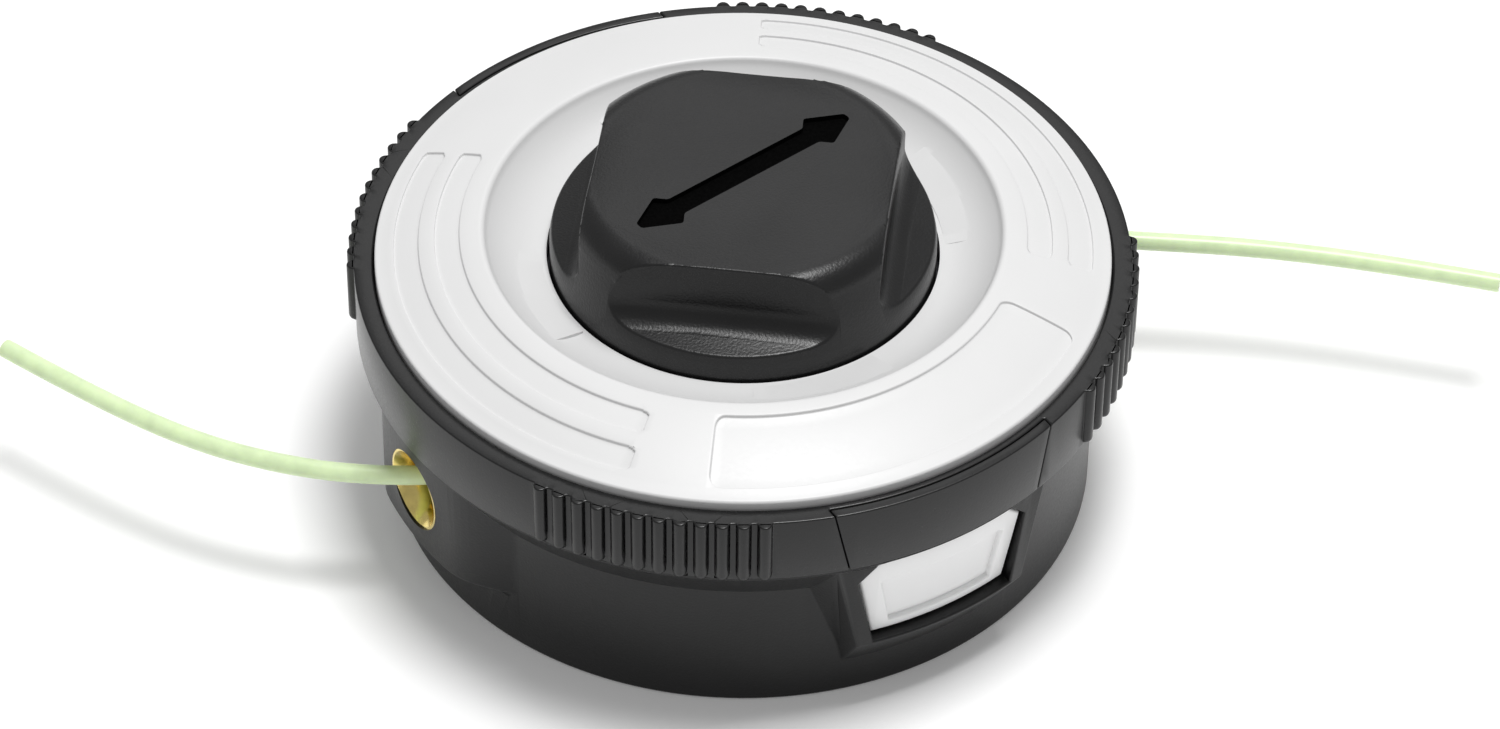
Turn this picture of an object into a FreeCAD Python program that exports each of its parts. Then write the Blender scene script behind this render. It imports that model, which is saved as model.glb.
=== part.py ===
"""Bump feed trimmer head, lying on its machine side with the bump knob up.

The spin axis is +Z, the origin is the middle of the base, the line leaves along X and the
release latches face -Y and +Y. All sizes are in millimetres.
"""
import FreeCAD
import Part
import math
import os

# Housing
LOWER_WALL_R = 49.6            # outside of the wall below the slope
WALL = 2.5
FLOOR = 3.0
BASE_EDGE_R = 0.6              # rounding round the bottom
RIM_TOP_Z = 38.0               # flat rim of the cover above the base
BAND_HEIGHT = 10.4             # smooth band of the cover
SLOPE_REACH = 4.4              # slope from the wall out to the band
SLOPE_HEIGHT = 6.6
SHOULDER_STEP = 0.4            # housing sits this much inside the band
SHOULDER_LAND = 0.6
SPIGOT_HEIGHT = 5.4            # part of the wall that enters the cover ring
SPIGOT_WALL = 2.2
BASE_HUB_WALL = 6.0            # base left full round the post
BASE_RECESS_MARGIN = 6.6       # base left full inside the wall
BASE_RECESS_DEPTH = 1.0
BASE_RIB_COUNT = 8
BASE_RIB_WIDTH = 3.0

# Bosses on the housing wall
BOSS_INSET = 0.7               # bosses inside the band
BOSS_OVERLAP = 0.7             # how deep a boss is rooted in the wall
BOSS_SAMPLES = 12              # points on each half of a swelling's curve
EYELET_BOSS_DROP = 12.2        # lower end of the boss below the line
EYELET_BOSS_CHAMFER = 3.6      # height of its sloped underside
EYELET_BOSS_FLAT_DEG = 9.0     # half angle of the full height
EYELET_BOSS_RAMP_DEG = 15.0    # further angle over which it fades
LATCH_BOSS_DROP = 6.2          # lower end of the boss below the window
LATCH_BOSS_CHAMFER = 5.8       # height of its sloped underside
LATCH_BOSS_FACE_DEG = (13.3, 18.0)     # half angle of the face at its bottom and top
LATCH_BOSS_REACH_DEG = (16.1, 25.2)    # half angle with the ramps beside the face

# Spindle thread and post
THREAD_BORE_R = 4.32           # core of an M10 x 1.25 thread
INSERT_WALL = 2.08
INSERT_HEX_STEP = 0.6          # flats of the foot outside the shank
INSERT_HEX_HEIGHT = 4.0
INSERT_GROOVE_DEPTH = 0.5
INSERT_GROOVE_WIDTH = 2.0
POST_WALL = 2.6
POST_CAP = 4.0                 # post above the insert

# Cover ring
RIM_WIDTH = 2.6
RIB_PROUD = 1.0
RIB_R = 0.95
RIB_COUNT = 12                 # in each of the four groups
RIB_GROUP_DEG = 33.0           # first rib to last rib
RIB_GROUP_MIDS_DEG = (45, 135, 225, 315)
RIB_LIFT = 0.3                 # lower end of a rib above the parting line
LEDGE_WIDTH = 3.9              # ledge that carries the disc
LEDGE_THICKNESS = 1.8
LEDGE_DEPTH = 1.4              # ledge below the rim
RING_FIT = 0.3                 # skirt over the spigot
PANEL_HALF_WIDTH = 15.1        # latch panel let into the skirt, at the parting line
PANEL_DEPTH = 1.6
SEAM = 0.12                    # gap at each side of a panel

# Cover disc
DISC_FIT = 0.3                 # disc inside the rim
DISC_EDGE_RISE = 0.3           # straight edge above the rim
DISC_EDGE_R = 0.9
DISC_THICKNESS = 2.2
CONE_WIDTH = 15.1              # from the edge in to the lip of the dish
CONE_CROWN = 0.35              # bulge of the cone at its middle
DISH_LIP_RISE = 5.2            # lip of the dish above the rim
DISH_LIP_LAND = 0.7
DISH_WIDTH = 8.7               # from the lip in to the knob hole
DISH_FLOOR_RISE = 0.5          # edge of the knob hole above the rim
DISH_HOLLOW_OFFSET = 3.7       # deepest curve of the dish, out from the knob hole
DISH_HOLLOW_RISE = 1.15
RECESS_DEPTH = 0.45
PAD_CORNER_R = 2.4
BAND_CORNER_R = 1.4
PAD_MARGINS = (2.3, 2.1)       # pad from the lip and from the edge
PAD_ANGLES = (-127.0, -54.0)
INNER_BAND_MARGIN = 3.3        # inner band from the lip
OUTER_BAND_MARGIN = 2.7        # outer band from the edge
INNER_BAND_WIDTH = 3.5
OUTER_BAND_WIDTH = 3.4
BAND_ANGLES = ((126.0, 220.0), (-38.5, 55.0))
RAMP_COUNT = 4
RAMP_STEP_DEG = 7.0            # direction of the first step
RAMP_SWEEP_DEG = 36.0
RAMP_RISE = 0.4
RAMP_START_RISE = 0.05
RAMP_MARGIN = 0.7              # ramp from the knob hole
RAMP_WIDTH = 5.4
RAMP_START_SHARE = 0.5         # width of the ramp where it begins, of its full width
RAMP_SECTIONS = 5
HOOK_ANGLES = (0, 45, 135, 180, 225, 315)
HOOK_HALF_DEG = 4.0
HOOK_WALL = 1.5
HOOK_BARB = 0.8
HOOK_BARB_HEIGHT = 1.1
HOOK_FIT = 0.15

# Knob
KNOB_TURN_DEG = 7.65           # direction of the arrow
KNOB_FLANGE_GAP = 0.45
KNOB_RISE = 15.0               # top of the knob above the rim
KNOB_TAPER = 1.45              # flange to shoulder
KNOB_SHOULDER_WIDTH = 4.5
KNOB_SHOULDER_DROP = 4.2
KNOB_SHOULDER_FULLNESS = 0.72  # how far the shoulder's arc bulges towards its corner
KNOB_WALL = 2.3
KNOB_LEDGE_WALL = 2.5
PLUG_LENGTH = 3.9              # plug of the knob in the spool
PLUG_CLEARANCE = 0.5           # plug above the post when bumped
SCOOP_COUNT = 4
SCOOP_TURN_DEG = 43.2          # first scoop from the arrow
SCOOP_DEPTH = 6.05             # scoop wall in from the flange
SCOOP_DRAFT = 0.5
SCOOP_LEDGE_RISE = 4.85        # ledge above the rim
SCOOP_FILLET_R = 3.4
SCOOP_PLAN_R = 400.0           # hollow of the scoop seen from above
ARROW_MARGIN = 2.5             # tip to the edge of the flat top
ARROW_HEAD_LENGTH = 5.1
ARROW_BARB_LENGTH = 1.4
ARROW_HEAD_HALF_WIDTH = 3.3
ARROW_SHAFT_HALF_WIDTH = 1.8
ARROW_TIP_HALF_WIDTH = 0.6
ARROW_DEPTH = 0.8

# Spool
BUMP_TRAVEL = 5.0
SPOOL_FLANGE_GAP = 0.5         # flange to the latch bracket
SPOOL_WALL = 2.5
SPOOL_FLANGE = 1.8
SPOOL_MIDDLE_FLANGE = 1.4
SPOOL_POCKET_DEPTH = 4.4
POST_FIT = 0.06                # running fit of the spool on the post
LINE_NOTCH_WIDTH = 3.4
LINE_NOTCH_DEPTH = 6.0
INDEX_TEETH = 8
INDEX_TOOTH_TOP = 0.5          # flat at the tip of a tooth
INDEX_TOOTH_LENGTH = 12.0
INDEX_TOOTH_MARGIN = 0.5       # teeth from the knob hole
INDEX_TOOTH_WIDTH = 5.2
INDEX_TOOTH_ROOT = 0.5         # how deep a tooth is rooted
UPPER_TOOTH_HEIGHT = 1.25
LOWER_TOOTH_HEIGHT = 1.6
INDEX_GAP = 0.4                # facing teeth clear each other by this

# Bump spring and washer
WASHER_THICKNESS = 1.4
WASHER_MARGIN = 3.05           # washer outside the spring
WASHER_FIT = 0.08
WASHER_GAP = 0.1
WASHER_POCKET_GAP = 0.8
BUMP_SPRING_WIRE = 1.5
BUMP_SPRING_POST_GAP = 2.65
BUMP_SPRING_TURNS = 3.0

# Latches
LATCH_HALF_WIDTH = 13.3        # window in the housing where it is widest
LATCH_HEIGHT = 14.8
LATCH_TOP_MARGIN = 0.6         # window below the parting line
LATCH_CORNER = 3.2
LATCH_TAPER = 0.2              # each side narrows by this share of the drop
LATCH_FACE_INSET = 0.4         # face inside the boss at the parting line
LATCH_LEAN = 0.145             # face leans in by this share of the drop
LATCH_SIDE_GAP = 0.4
LATCH_BOTTOM_GAP = 0.4
LATCH_TRAVEL = 2.2
LATCH_STOP_GAP = 1.6           # plate to the bracket when pressed
LATCH_PANEL_INSETS = (3.0, 1.6, 4.0)    # sunk panel from the sides, bottom and top
LATCH_PANEL_DEPTH = 0.5
LATCH_PLATE = 2.1
LATCH_PLATE_MARGIN = 0.8
LATCH_PLATE_FIT = 0.64         # corners of the plate inside the wall
LATCH_TONGUE_HALF_WIDTH = 6.0
BRACKET_WALL = 1.4
BRACKET_HALF_WIDTH = 9.0
BRACKET_FOOT_RISE = 0.8        # foot of the bracket above the window's bottom
LATCH_SPRING_R = 2.4
LATCH_SPRING_WIRE = 0.6
LATCH_SPRING_TURNS = 5.0
LATCH_SPRING_POCKET = 4.4
LATCH_PEG_R = 1.6
LATCH_PEG_LENGTH = 1.2
SPRING_SEAT_GAP = 0.05

# Line and eyelets
LINE_D = 2.7
LINE_DROP = 8.9                # line below the parting line
EYELET_INSET = 0.3             # face of the eyelet inside its boss
EYELET_LIP_R = 6.0
EYELET_BARREL_R = 4.9
EYELET_WALL = 0.7
EYELET_LENGTH = 8.0
EYELET_FLARE = 3.0
EYELET_BEND = (0.3, 0.55)      # middle of the flare's curve, as shares of its width and length
WOUND_MARGIN = 4.5             # wound line below the edge of the flanges
WOUND_TURNS = 3                # turns side by side in a chamber
LINE_BEND_SHARE = 0.45         # share of the shorter run that a bend takes up
# Route of each free line from inside the eyelet to its cut end
LINE_LEFT_ROUTE = (
    (-39.0, -4.0),
    (-46.3, -0.5),
    (-54.0, 3.6),
    (-64.0, 11.2),
    (-74.0, 23.2),
    (-82.3, 39.6),
    (-88.3, 54.7),
)
LINE_RIGHT_ROUTE = (
    (39.0, 4.0),
    (46.3, 0.5),
    (54.0, -3.6),
    (63.5, -10.3),
    (76.0, -19.6),
    (89.2, -31.4),
    (100.8, -43.3),
)

# Sizes worked out from those above
AXIS = FreeCAD.Vector(0, 0, 1)
ORIGIN = FreeCAD.Vector(0, 0, 0)
INNER_R = LOWER_WALL_R - WALL
BAND_R = LOWER_WALL_R + SLOPE_REACH
SKIRT_BOTTOM_Z = RIM_TOP_Z - BAND_HEIGHT
SLOPE_BOTTOM_Z = SKIRT_BOTTOM_Z - SLOPE_HEIGHT
SHOULDER_R = BAND_R - SHOULDER_STEP
BOSS_R = BAND_R - BOSS_INSET
BOSS_ROOT_R = LOWER_WALL_R - BOSS_OVERLAP
BOSS_INNER_R = INNER_R + BOSS_OVERLAP
RIM_INNER_R = BAND_R - RIM_WIDTH
LEDGE_IN_R = RIM_INNER_R - LEDGE_WIDTH
LEDGE_Z = RIM_TOP_Z - LEDGE_DEPTH
LEDGE_BOTTOM_Z = LEDGE_Z - LEDGE_THICKNESS
SKIRT_IN_R = RIM_INNER_R - RING_FIT
SPIGOT_R = SKIRT_IN_R - RING_FIT
SPIGOT_TOP_Z = SKIRT_BOTTOM_Z + SPIGOT_HEIGHT
DISC_R = RIM_INNER_R - DISC_FIT
DISC_EDGE_Z = RIM_TOP_Z + DISC_EDGE_RISE
CONE_FOOT_R = DISC_R - DISC_EDGE_R
CONE_FOOT_Z = DISC_EDGE_Z + DISC_EDGE_R
DISH_LIP_R = DISC_R - CONE_WIDTH
DISH_LIP_Z = RIM_TOP_Z + DISH_LIP_RISE
CONE_TOP_R = DISH_LIP_R + DISH_LIP_LAND
KNOB_HOLE_R = DISH_LIP_R - DISH_WIDTH
DISH_FLOOR_Z = RIM_TOP_Z + DISH_FLOOR_RISE
DISH_UNDER_Z = DISH_FLOOR_Z - DISC_THICKNESS
DISH_HOLLOW_R = KNOB_HOLE_R + DISH_HOLLOW_OFFSET
PAD_RADII = (DISH_LIP_R + PAD_MARGINS[0], DISC_R - PAD_MARGINS[1])
INNER_BAND_IN_R = DISH_LIP_R + INNER_BAND_MARGIN
OUTER_BAND_OUT_R = DISC_R - OUTER_BAND_MARGIN
BAND_RADII = (
    (INNER_BAND_IN_R, INNER_BAND_IN_R + INNER_BAND_WIDTH),
    (OUTER_BAND_OUT_R - OUTER_BAND_WIDTH, OUTER_BAND_OUT_R),
)
RAMP_IN_R = KNOB_HOLE_R + RAMP_MARGIN
RAMP_RADII = (RAMP_IN_R, RAMP_IN_R + RAMP_WIDTH)
KNOB_FLANGE_R = KNOB_HOLE_R - KNOB_FLANGE_GAP
KNOB_SHOULDER_R = KNOB_FLANGE_R - KNOB_TAPER
KNOB_TOP_R = KNOB_SHOULDER_R - KNOB_SHOULDER_WIDTH
KNOB_TOP_Z = RIM_TOP_Z + KNOB_RISE
SCOOP_DISTANCE = KNOB_FLANGE_R - SCOOP_DEPTH
SCOOP_LEDGE_Z = RIM_TOP_Z + SCOOP_LEDGE_RISE
ARROW_HALF_LENGTH = KNOB_TOP_R - ARROW_MARGIN
SPOOL_TOP_Z = DISH_UNDER_Z - 2 * UPPER_TOOTH_HEIGHT - INDEX_GAP
SPOOL_BOTTOM_Z = FLOOR + BUMP_TRAVEL + 2 * LOWER_TOOTH_HEIGHT + INDEX_GAP
SPOOL_CHAMBER = (SPOOL_TOP_Z - SPOOL_BOTTOM_Z - 2 * SPOOL_FLANGE - SPOOL_MIDDLE_FLANGE) / 2
SPOOL_LOWER_Z = SPOOL_BOTTOM_Z + SPOOL_FLANGE
SPOOL_MIDDLE_Z = SPOOL_LOWER_Z + SPOOL_CHAMBER
SPOOL_UPPER_Z = SPOOL_MIDDLE_Z + SPOOL_MIDDLE_FLANGE
SPOOL_POCKET_Z = SPOOL_BOTTOM_Z + SPOOL_POCKET_DEPTH
POST_TOP_Z = SPOOL_TOP_Z - PLUG_LENGTH - BUMP_TRAVEL - PLUG_CLEARANCE
INSERT_LENGTH = POST_TOP_Z - POST_CAP
INSERT_SHANK_R = THREAD_BORE_R + INSERT_WALL
INSERT_HEX_FLATS = 2 * (INSERT_SHANK_R + INSERT_HEX_STEP)
POST_R = INSERT_SHANK_R + POST_WALL
SPOOL_BORE_R = POST_R + POST_FIT
BASE_RECESS_IN_R = POST_R + BASE_HUB_WALL
BASE_RECESS_OUT_R = LOWER_WALL_R - BASE_RECESS_MARGIN
BUMP_SPRING_R = POST_R + BUMP_SPRING_POST_GAP + BUMP_SPRING_WIRE / 2
WASHER_R = BUMP_SPRING_R + BUMP_SPRING_WIRE / 2 + WASHER_MARGIN
WASHER_TOP_Z = SPOOL_POCKET_Z - WASHER_GAP
SPOOL_POCKET_R = WASHER_R + WASHER_POCKET_GAP
SPOOL_CORE_R = SPOOL_POCKET_R + SPOOL_WALL
INDEX_TOOTH_IN_R = KNOB_HOLE_R + INDEX_TOOTH_MARGIN
LATCH_TOP_Z = SKIRT_BOTTOM_Z - LATCH_TOP_MARGIN
LATCH_BOTTOM_Z = LATCH_TOP_Z - LATCH_HEIGHT
LATCH_Z = (LATCH_BOTTOM_Z + LATCH_TOP_Z) / 2
LATCH_BOSS_BOTTOM_Z = LATCH_BOTTOM_Z - LATCH_BOSS_DROP
LATCH_WIDEST_Z = LATCH_TOP_Z - LATCH_CORNER
LATCH_PLATE_HALF_WIDTH = LATCH_HALF_WIDTH + LATCH_PLATE_MARGIN
LATCH_PLATE_Y = math.sqrt(INNER_R ** 2 - LATCH_PLATE_HALF_WIDTH ** 2) - LATCH_PLATE_FIT
LATCH_PLATE_IN_Y = LATCH_PLATE_Y - LATCH_PLATE
BRACKET_OUT_Y = LATCH_PLATE_IN_Y - LATCH_TRAVEL - LATCH_STOP_GAP
BRACKET_IN_Y = BRACKET_OUT_Y - BRACKET_WALL
BRACKET_FOOT_Z = LATCH_BOTTOM_Z + BRACKET_FOOT_RISE
LATCH_SPRING_REST = LATCH_PLATE_IN_Y + LATCH_SPRING_POCKET - BRACKET_OUT_Y
SPOOL_FLANGE_R = BRACKET_IN_Y - SPOOL_FLANGE_GAP
WOUND_R = SPOOL_FLANGE_R - WOUND_MARGIN
LINE_Z = SKIRT_BOTTOM_Z - LINE_DROP
EYELET_BOSS_BOTTOM_Z = LINE_Z - EYELET_BOSS_DROP
EYELET_FACE_X = BOSS_R - EYELET_INSET
FAR = 2 * BAND_R               # beyond everything, for cutting tools
UPRIGHT = 0.99                 # least vertical part of an upright edge's direction


def polar(radius, degrees, z=0.0):
    """Point at a radius and direction about the spin axis."""
    turn = math.radians(degrees)
    return FreeCAD.Vector(radius * math.cos(turn), radius * math.sin(turn), z)


def section(first, *steps):
    """Closed face in the XZ plane; a step is an end point, or an arc's middle and end points."""
    edges = []
    here = first
    for step in steps + (first,):
        start = FreeCAD.Vector(here[0], 0, here[1])
        is_arc = isinstance(step[0], tuple)
        end = step[1] if is_arc else step
        finish = FreeCAD.Vector(end[0], 0, end[1])
        if is_arc:
            middle = FreeCAD.Vector(step[0][0], 0, step[0][1])
            edges.append(Part.Arc(start, middle, finish).toShape())
        else:
            edges.append(Part.makeLine(start, finish))
        here = end
    return Part.Face(Part.Wire(edges))


def turned(face, start=0.0, sweep=360.0):
    """Solid of revolution of a section, from one direction through a sweep."""
    placed = face.copy()
    placed.rotate(ORIGIN, AXIS, start)
    return placed.revolve(ORIGIN, AXIS, sweep)


def sector(radii, heights, middle, half):
    """Block between two radii and two heights, about a direction."""
    inner, outer = radii
    bottom, top = heights
    face = section((inner, bottom), (outer, bottom), (outer, top), (inner, top))
    return turned(face, middle - half, 2 * half)


def disc_block(radius, bottom, top):
    """Upright cylinder on the spin axis."""
    return Part.makeCylinder(radius, top - bottom, FreeCAD.Vector(0, 0, bottom), AXIS)


def box(x_range, y_range, z_range):
    """Block from ranges along the three axes."""
    corner = FreeCAD.Vector(x_range[0], y_range[0], z_range[0])
    return Part.makeBox(x_range[1] - x_range[0], y_range[1] - y_range[0], z_range[1] - z_range[0], corner)


def rotated(shape, degrees):
    """Copy turned about the spin axis."""
    copy = shape.copy()
    copy.rotate(ORIGIN, AXIS, degrees)
    return copy


def around(shape, count, start=0.0):
    """Copies spread evenly about the spin axis."""
    return [rotated(shape, start + 360.0 * index / count) for index in range(count)]


def fused(first, others):
    """One solid from several, with seams between like faces removed."""
    return first.multiFuse(others).removeSplitter()


def arc_middle(centre, radius, degrees):
    """Point on a section's arc, for naming its middle."""
    turn = math.radians(degrees)
    return (centre[0] + radius * math.cos(turn), centre[1] + radius * math.sin(turn))


def prism_y(outline, y_from, y_to):
    """Prism along Y from an outline of (x, z) points."""
    points = [FreeCAD.Vector(x, y_from, z) for x, z in outline]
    face = Part.Face(Part.makePolygon(points + points[:1]))
    return face.extrude(FreeCAD.Vector(0, y_to - y_from, 0))


def index_tooth(base_z, height, direction):
    """Ramped tooth that stands up or down from a ring face."""
    half = INDEX_TOOTH_LENGTH / 2
    root = INDEX_TOOTH_ROOT
    outline = ((-half, -root), (half, -root), (half, height), (half - INDEX_TOOTH_TOP, height))
    points = [FreeCAD.Vector(INDEX_TOOTH_IN_R, y, base_z + direction * z) for y, z in outline]
    face = Part.Face(Part.makePolygon(points + points[:1]))
    return face.extrude(FreeCAD.Vector(INDEX_TOOTH_WIDTH, 0, 0))


def coil_spring(radius, wire, length, turns):
    """Helical spring that stands on the origin, with its ends just clear of its seats."""
    height = length - wire - 2 * SPRING_SEAT_GAP
    path = Part.makeHelix(height / turns, height, radius)
    ring = Part.Wire(Part.makeCircle(wire / 2, FreeCAD.Vector(radius, 0, 0), FreeCAD.Vector(0, 1, 0)))
    spring = Part.Wire(path).makePipeShell([ring], True, True)
    spring.translate(FreeCAD.Vector(0, 0, wire / 2 + SPRING_SEAT_GAP))
    return spring


def hex_block(flats, bottom, top):
    """Hexagonal block on the spin axis."""
    corner = flats / math.sqrt(3)
    points = [polar(corner, 60 * index, bottom) for index in range(6)]
    return Part.Face(Part.makePolygon(points + points[:1])).extrude(AXIS * (top - bottom))


def sloped_under(boss, bottom, chamfer):
    """Boss on the housing wall with its underside sloped back to the wall."""
    slope = chamfer / (BOSS_R - LOWER_WALL_R)
    under = section(
        (INNER_R, bottom - WALL),
        (BOSS_R + WALL, bottom - WALL),
        (BOSS_R + WALL, bottom + slope * (BOSS_R + WALL - LOWER_WALL_R)),
        (LOWER_WALL_R, bottom),
        (INNER_R, bottom),
    )
    return boss.cut(turned(under))


def eyelet_boss():
    """Soft swelling of the wall round a line exit, fading on both sides."""
    reach = EYELET_BOSS_FLAT_DEG + EYELET_BOSS_RAMP_DEG
    bottom = EYELET_BOSS_BOTTOM_Z
    points = []
    for index in range(-BOSS_SAMPLES, BOSS_SAMPLES + 1):
        angle = reach * index / BOSS_SAMPLES
        fade = max(0.0, (abs(angle) - EYELET_BOSS_FLAT_DEG) / EYELET_BOSS_RAMP_DEG)
        height = (1 + math.cos(math.pi * fade)) / 2
        points.append(polar(BOSS_ROOT_R + (BOSS_R - BOSS_ROOT_R) * height, angle, bottom))
    outer = Part.BSplineCurve()
    outer.interpolate(points)
    ends = [polar(BOSS_INNER_R, turn, bottom) for turn in (-reach, 0, reach)]
    edges = [
        outer.toShape(),
        Part.makeLine(points[-1], ends[2]),
        Part.Arc(ends[2], ends[1], ends[0]).toShape(),
        Part.makeLine(ends[0], points[0]),
    ]
    boss = Part.Face(Part.Wire(edges)).extrude(AXIS * (SKIRT_BOTTOM_Z - bottom))
    return sloped_under(boss, bottom, EYELET_BOSS_CHAMFER)


def latch_boss_plan(half, reach, z):
    """Plan of the latch boss at -Y: its face, a ramp at each side and its root in the wall."""
    middle = -90
    face_ends = (polar(BOSS_R, middle - half, z), polar(BOSS_R, middle + half, z))
    roots = (polar(BOSS_ROOT_R, middle - reach, z), polar(BOSS_ROOT_R, middle + reach, z))
    inner = [polar(BOSS_INNER_R, middle + turn, z) for turn in (-reach, 0, reach)]
    edges = [
        Part.Arc(face_ends[0], polar(BOSS_R, middle, z), face_ends[1]).toShape(),
        Part.makeLine(face_ends[1], roots[1]),
        Part.makeLine(roots[1], inner[2]),
        Part.Arc(inner[2], inner[1], inner[0]).toShape(),
        Part.makeLine(inner[0], roots[0]),
        Part.makeLine(roots[0], face_ends[0]),
    ]
    return Part.Wire(edges)


def latch_boss():
    """Flat-sided boss round the latch window at -Y, narrower towards its bottom."""
    plans = [
        latch_boss_plan(half, reach, z)
        for half, reach, z in zip(
            LATCH_BOSS_FACE_DEG,
            LATCH_BOSS_REACH_DEG,
            (LATCH_BOSS_BOTTOM_Z, SKIRT_BOTTOM_Z),
        )
    ]
    return sloped_under(Part.makeLoft(plans, True, True), LATCH_BOSS_BOTTOM_Z, LATCH_BOSS_CHAMFER)


def latch_half_width(z, side):
    """Half width of the latch outline at a height, inset at its sides."""
    return LATCH_HALF_WIDTH - side - LATCH_TAPER * (LATCH_WIDEST_Z - z)


def latch_outline(side, bottom, top):
    """Latch outline in (x, z), inset at its sides, bottom and top, with its upper corners cut off."""
    low = LATCH_BOTTOM_Z + bottom
    high = LATCH_TOP_Z - top
    corner = max(LATCH_CORNER - side, LATCH_SIDE_GAP)
    widest = latch_half_width(high - corner, side)
    right = ((latch_half_width(low, side), low), (widest, high - corner), (widest - corner, high))
    left = tuple((-x, z) for x, z in reversed(right))
    return right + left


def eyelet_profile(inside):
    """Wall of an eyelet as (r, x) steps from its inner end to its face."""
    barrel = EYELET_BARREL_R - EYELET_WALL if inside else EYELET_BARREL_R
    lip = EYELET_LIP_R - EYELET_WALL / 2 if inside else EYELET_LIP_R
    start = EYELET_FACE_X - EYELET_LENGTH
    flare = EYELET_FACE_X - EYELET_FLARE
    bend = (barrel + EYELET_BEND[0] * (lip - barrel), flare + EYELET_BEND[1] * EYELET_FLARE)
    return (barrel, start), (barrel, flare), (bend, (lip, EYELET_FACE_X))


def along_x(shape):
    """Turn a body of revolution from the Z axis onto the X axis at the line's height."""
    shape.rotate(ORIGIN, FreeCAD.Vector(0, 1, 0), 90)
    shape.translate(AXIS * LINE_Z)
    return shape


def eyelet():
    """Flared brass eyelet in the wall at +X."""
    outside = eyelet_profile(False)
    bore = eyelet_profile(True)
    face = section(bore[0], outside[0], outside[1], outside[2], bore[2][1], (bore[2][0], bore[1]))
    return along_x(turned(face))


def eyelet_hole():
    """Hole in the wall for the eyelet at +X, open to both sides."""
    outside = eyelet_profile(False)
    start = (outside[0][0], INNER_R - 2 * EYELET_LENGTH)
    face = section((0, start[1]), start, outside[1], outside[2], (EYELET_LIP_R, FAR), (0, FAR))
    return along_x(turned(face))


def housing():
    """Moulded cup with its post, bosses, windows and eyelet holes."""
    edge = BASE_EDGE_R
    round_middle = arc_middle((LOWER_WALL_R - edge, edge), edge, -45)
    spigot_in_r = SPIGOT_R - SPIGOT_WALL
    face = section(
        (0, 0),
        (LOWER_WALL_R - edge, 0),
        (round_middle, (LOWER_WALL_R, edge)),
        (LOWER_WALL_R, SLOPE_BOTTOM_Z),
        (SHOULDER_R, SKIRT_BOTTOM_Z - SHOULDER_LAND),
        (SHOULDER_R, SKIRT_BOTTOM_Z),
        (SPIGOT_R, SKIRT_BOTTOM_Z),
        (SPIGOT_R, SPIGOT_TOP_Z),
        (spigot_in_r, SPIGOT_TOP_Z),
        (spigot_in_r, SLOPE_BOTTOM_Z + SLOPE_HEIGHT / 2),
        (INNER_R, SLOPE_BOTTOM_Z),
        (INNER_R, FLOOR),
        (POST_R, FLOOR),
        (POST_R, POST_TOP_Z),
        (0, POST_TOP_Z),
    )
    cup = turned(face)
    eyelet_bosses = around(eyelet_boss(), 2)
    latch_bosses = around(latch_boss(), 2)
    teeth = around(index_tooth(FLOOR, LOWER_TOOTH_HEIGHT, 1), INDEX_TEETH)
    cup = fused(cup, eyelet_bosses + latch_bosses + teeth)
    window = prism_y(latch_outline(0, 0, 0), -FAR, -LATCH_PLATE_Y)
    recess = sector((BASE_RECESS_IN_R, BASE_RECESS_OUT_R), (0, BASE_RECESS_DEPTH), 0, 180)
    half_rib = BASE_RIB_WIDTH / 2
    rib = box((0, BASE_RECESS_OUT_R), (-half_rib, half_rib), (0, BASE_RECESS_DEPTH))
    recess = recess.cut(around(rib, BASE_RIB_COUNT))
    pocket = [disc_block(INSERT_SHANK_R, 0, INSERT_LENGTH), hex_block(INSERT_HEX_FLATS, 0, INSERT_HEX_HEIGHT)]
    cuts = around(window, 2) + around(eyelet_hole(), 2) + [recess] + pocket
    return cup.cut(cuts)


def threaded_insert():
    """Steel insert in the post, with a hexagonal foot and a grip groove."""
    shank = disc_block(INSERT_SHANK_R, 0, INSERT_LENGTH)
    body = fused(shank, [hex_block(INSERT_HEX_FLATS, 0, INSERT_HEX_HEIGHT)])
    groove_z = (INSERT_HEX_HEIGHT + INSERT_LENGTH - INSERT_GROOVE_WIDTH) / 2
    groove_heights = (groove_z, groove_z + INSERT_GROOVE_WIDTH)
    groove = sector((INSERT_SHANK_R - INSERT_GROOVE_DEPTH, INSERT_SHANK_R + WALL), groove_heights, 0, 180)
    return body.cut([groove, disc_block(THREAD_BORE_R, 0, INSERT_LENGTH)])


def ring_rib():
    """One grip rib at +X, round in front and at its lower end."""
    centre = FreeCAD.Vector(BAND_R + RIB_PROUD - RIB_R, 0, SKIRT_BOTTOM_Z + RIB_LIFT + RIB_R)
    bar = Part.makeCylinder(RIB_R, RIM_TOP_Z - centre.z, centre, AXIS)
    return bar.fuse(Part.makeSphere(RIB_R, centre))


def panel_sector(side_gap, depth):
    """Block of the skirt at -Y that the latch panel takes up, wider towards the rim."""
    low = PANEL_HALF_WIDTH - side_gap
    high = low + LATCH_TAPER * BAND_HEIGHT
    outline = ((low, SKIRT_BOTTOM_Z), (high, RIM_TOP_Z), (-high, RIM_TOP_Z), (-low, SKIRT_BOTTOM_Z))
    skirt = sector((BAND_R - depth, BAND_R), (SKIRT_BOTTOM_Z, RIM_TOP_Z), -90, 45)
    return skirt.common(prism_y(outline, -FAR, 0))


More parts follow.
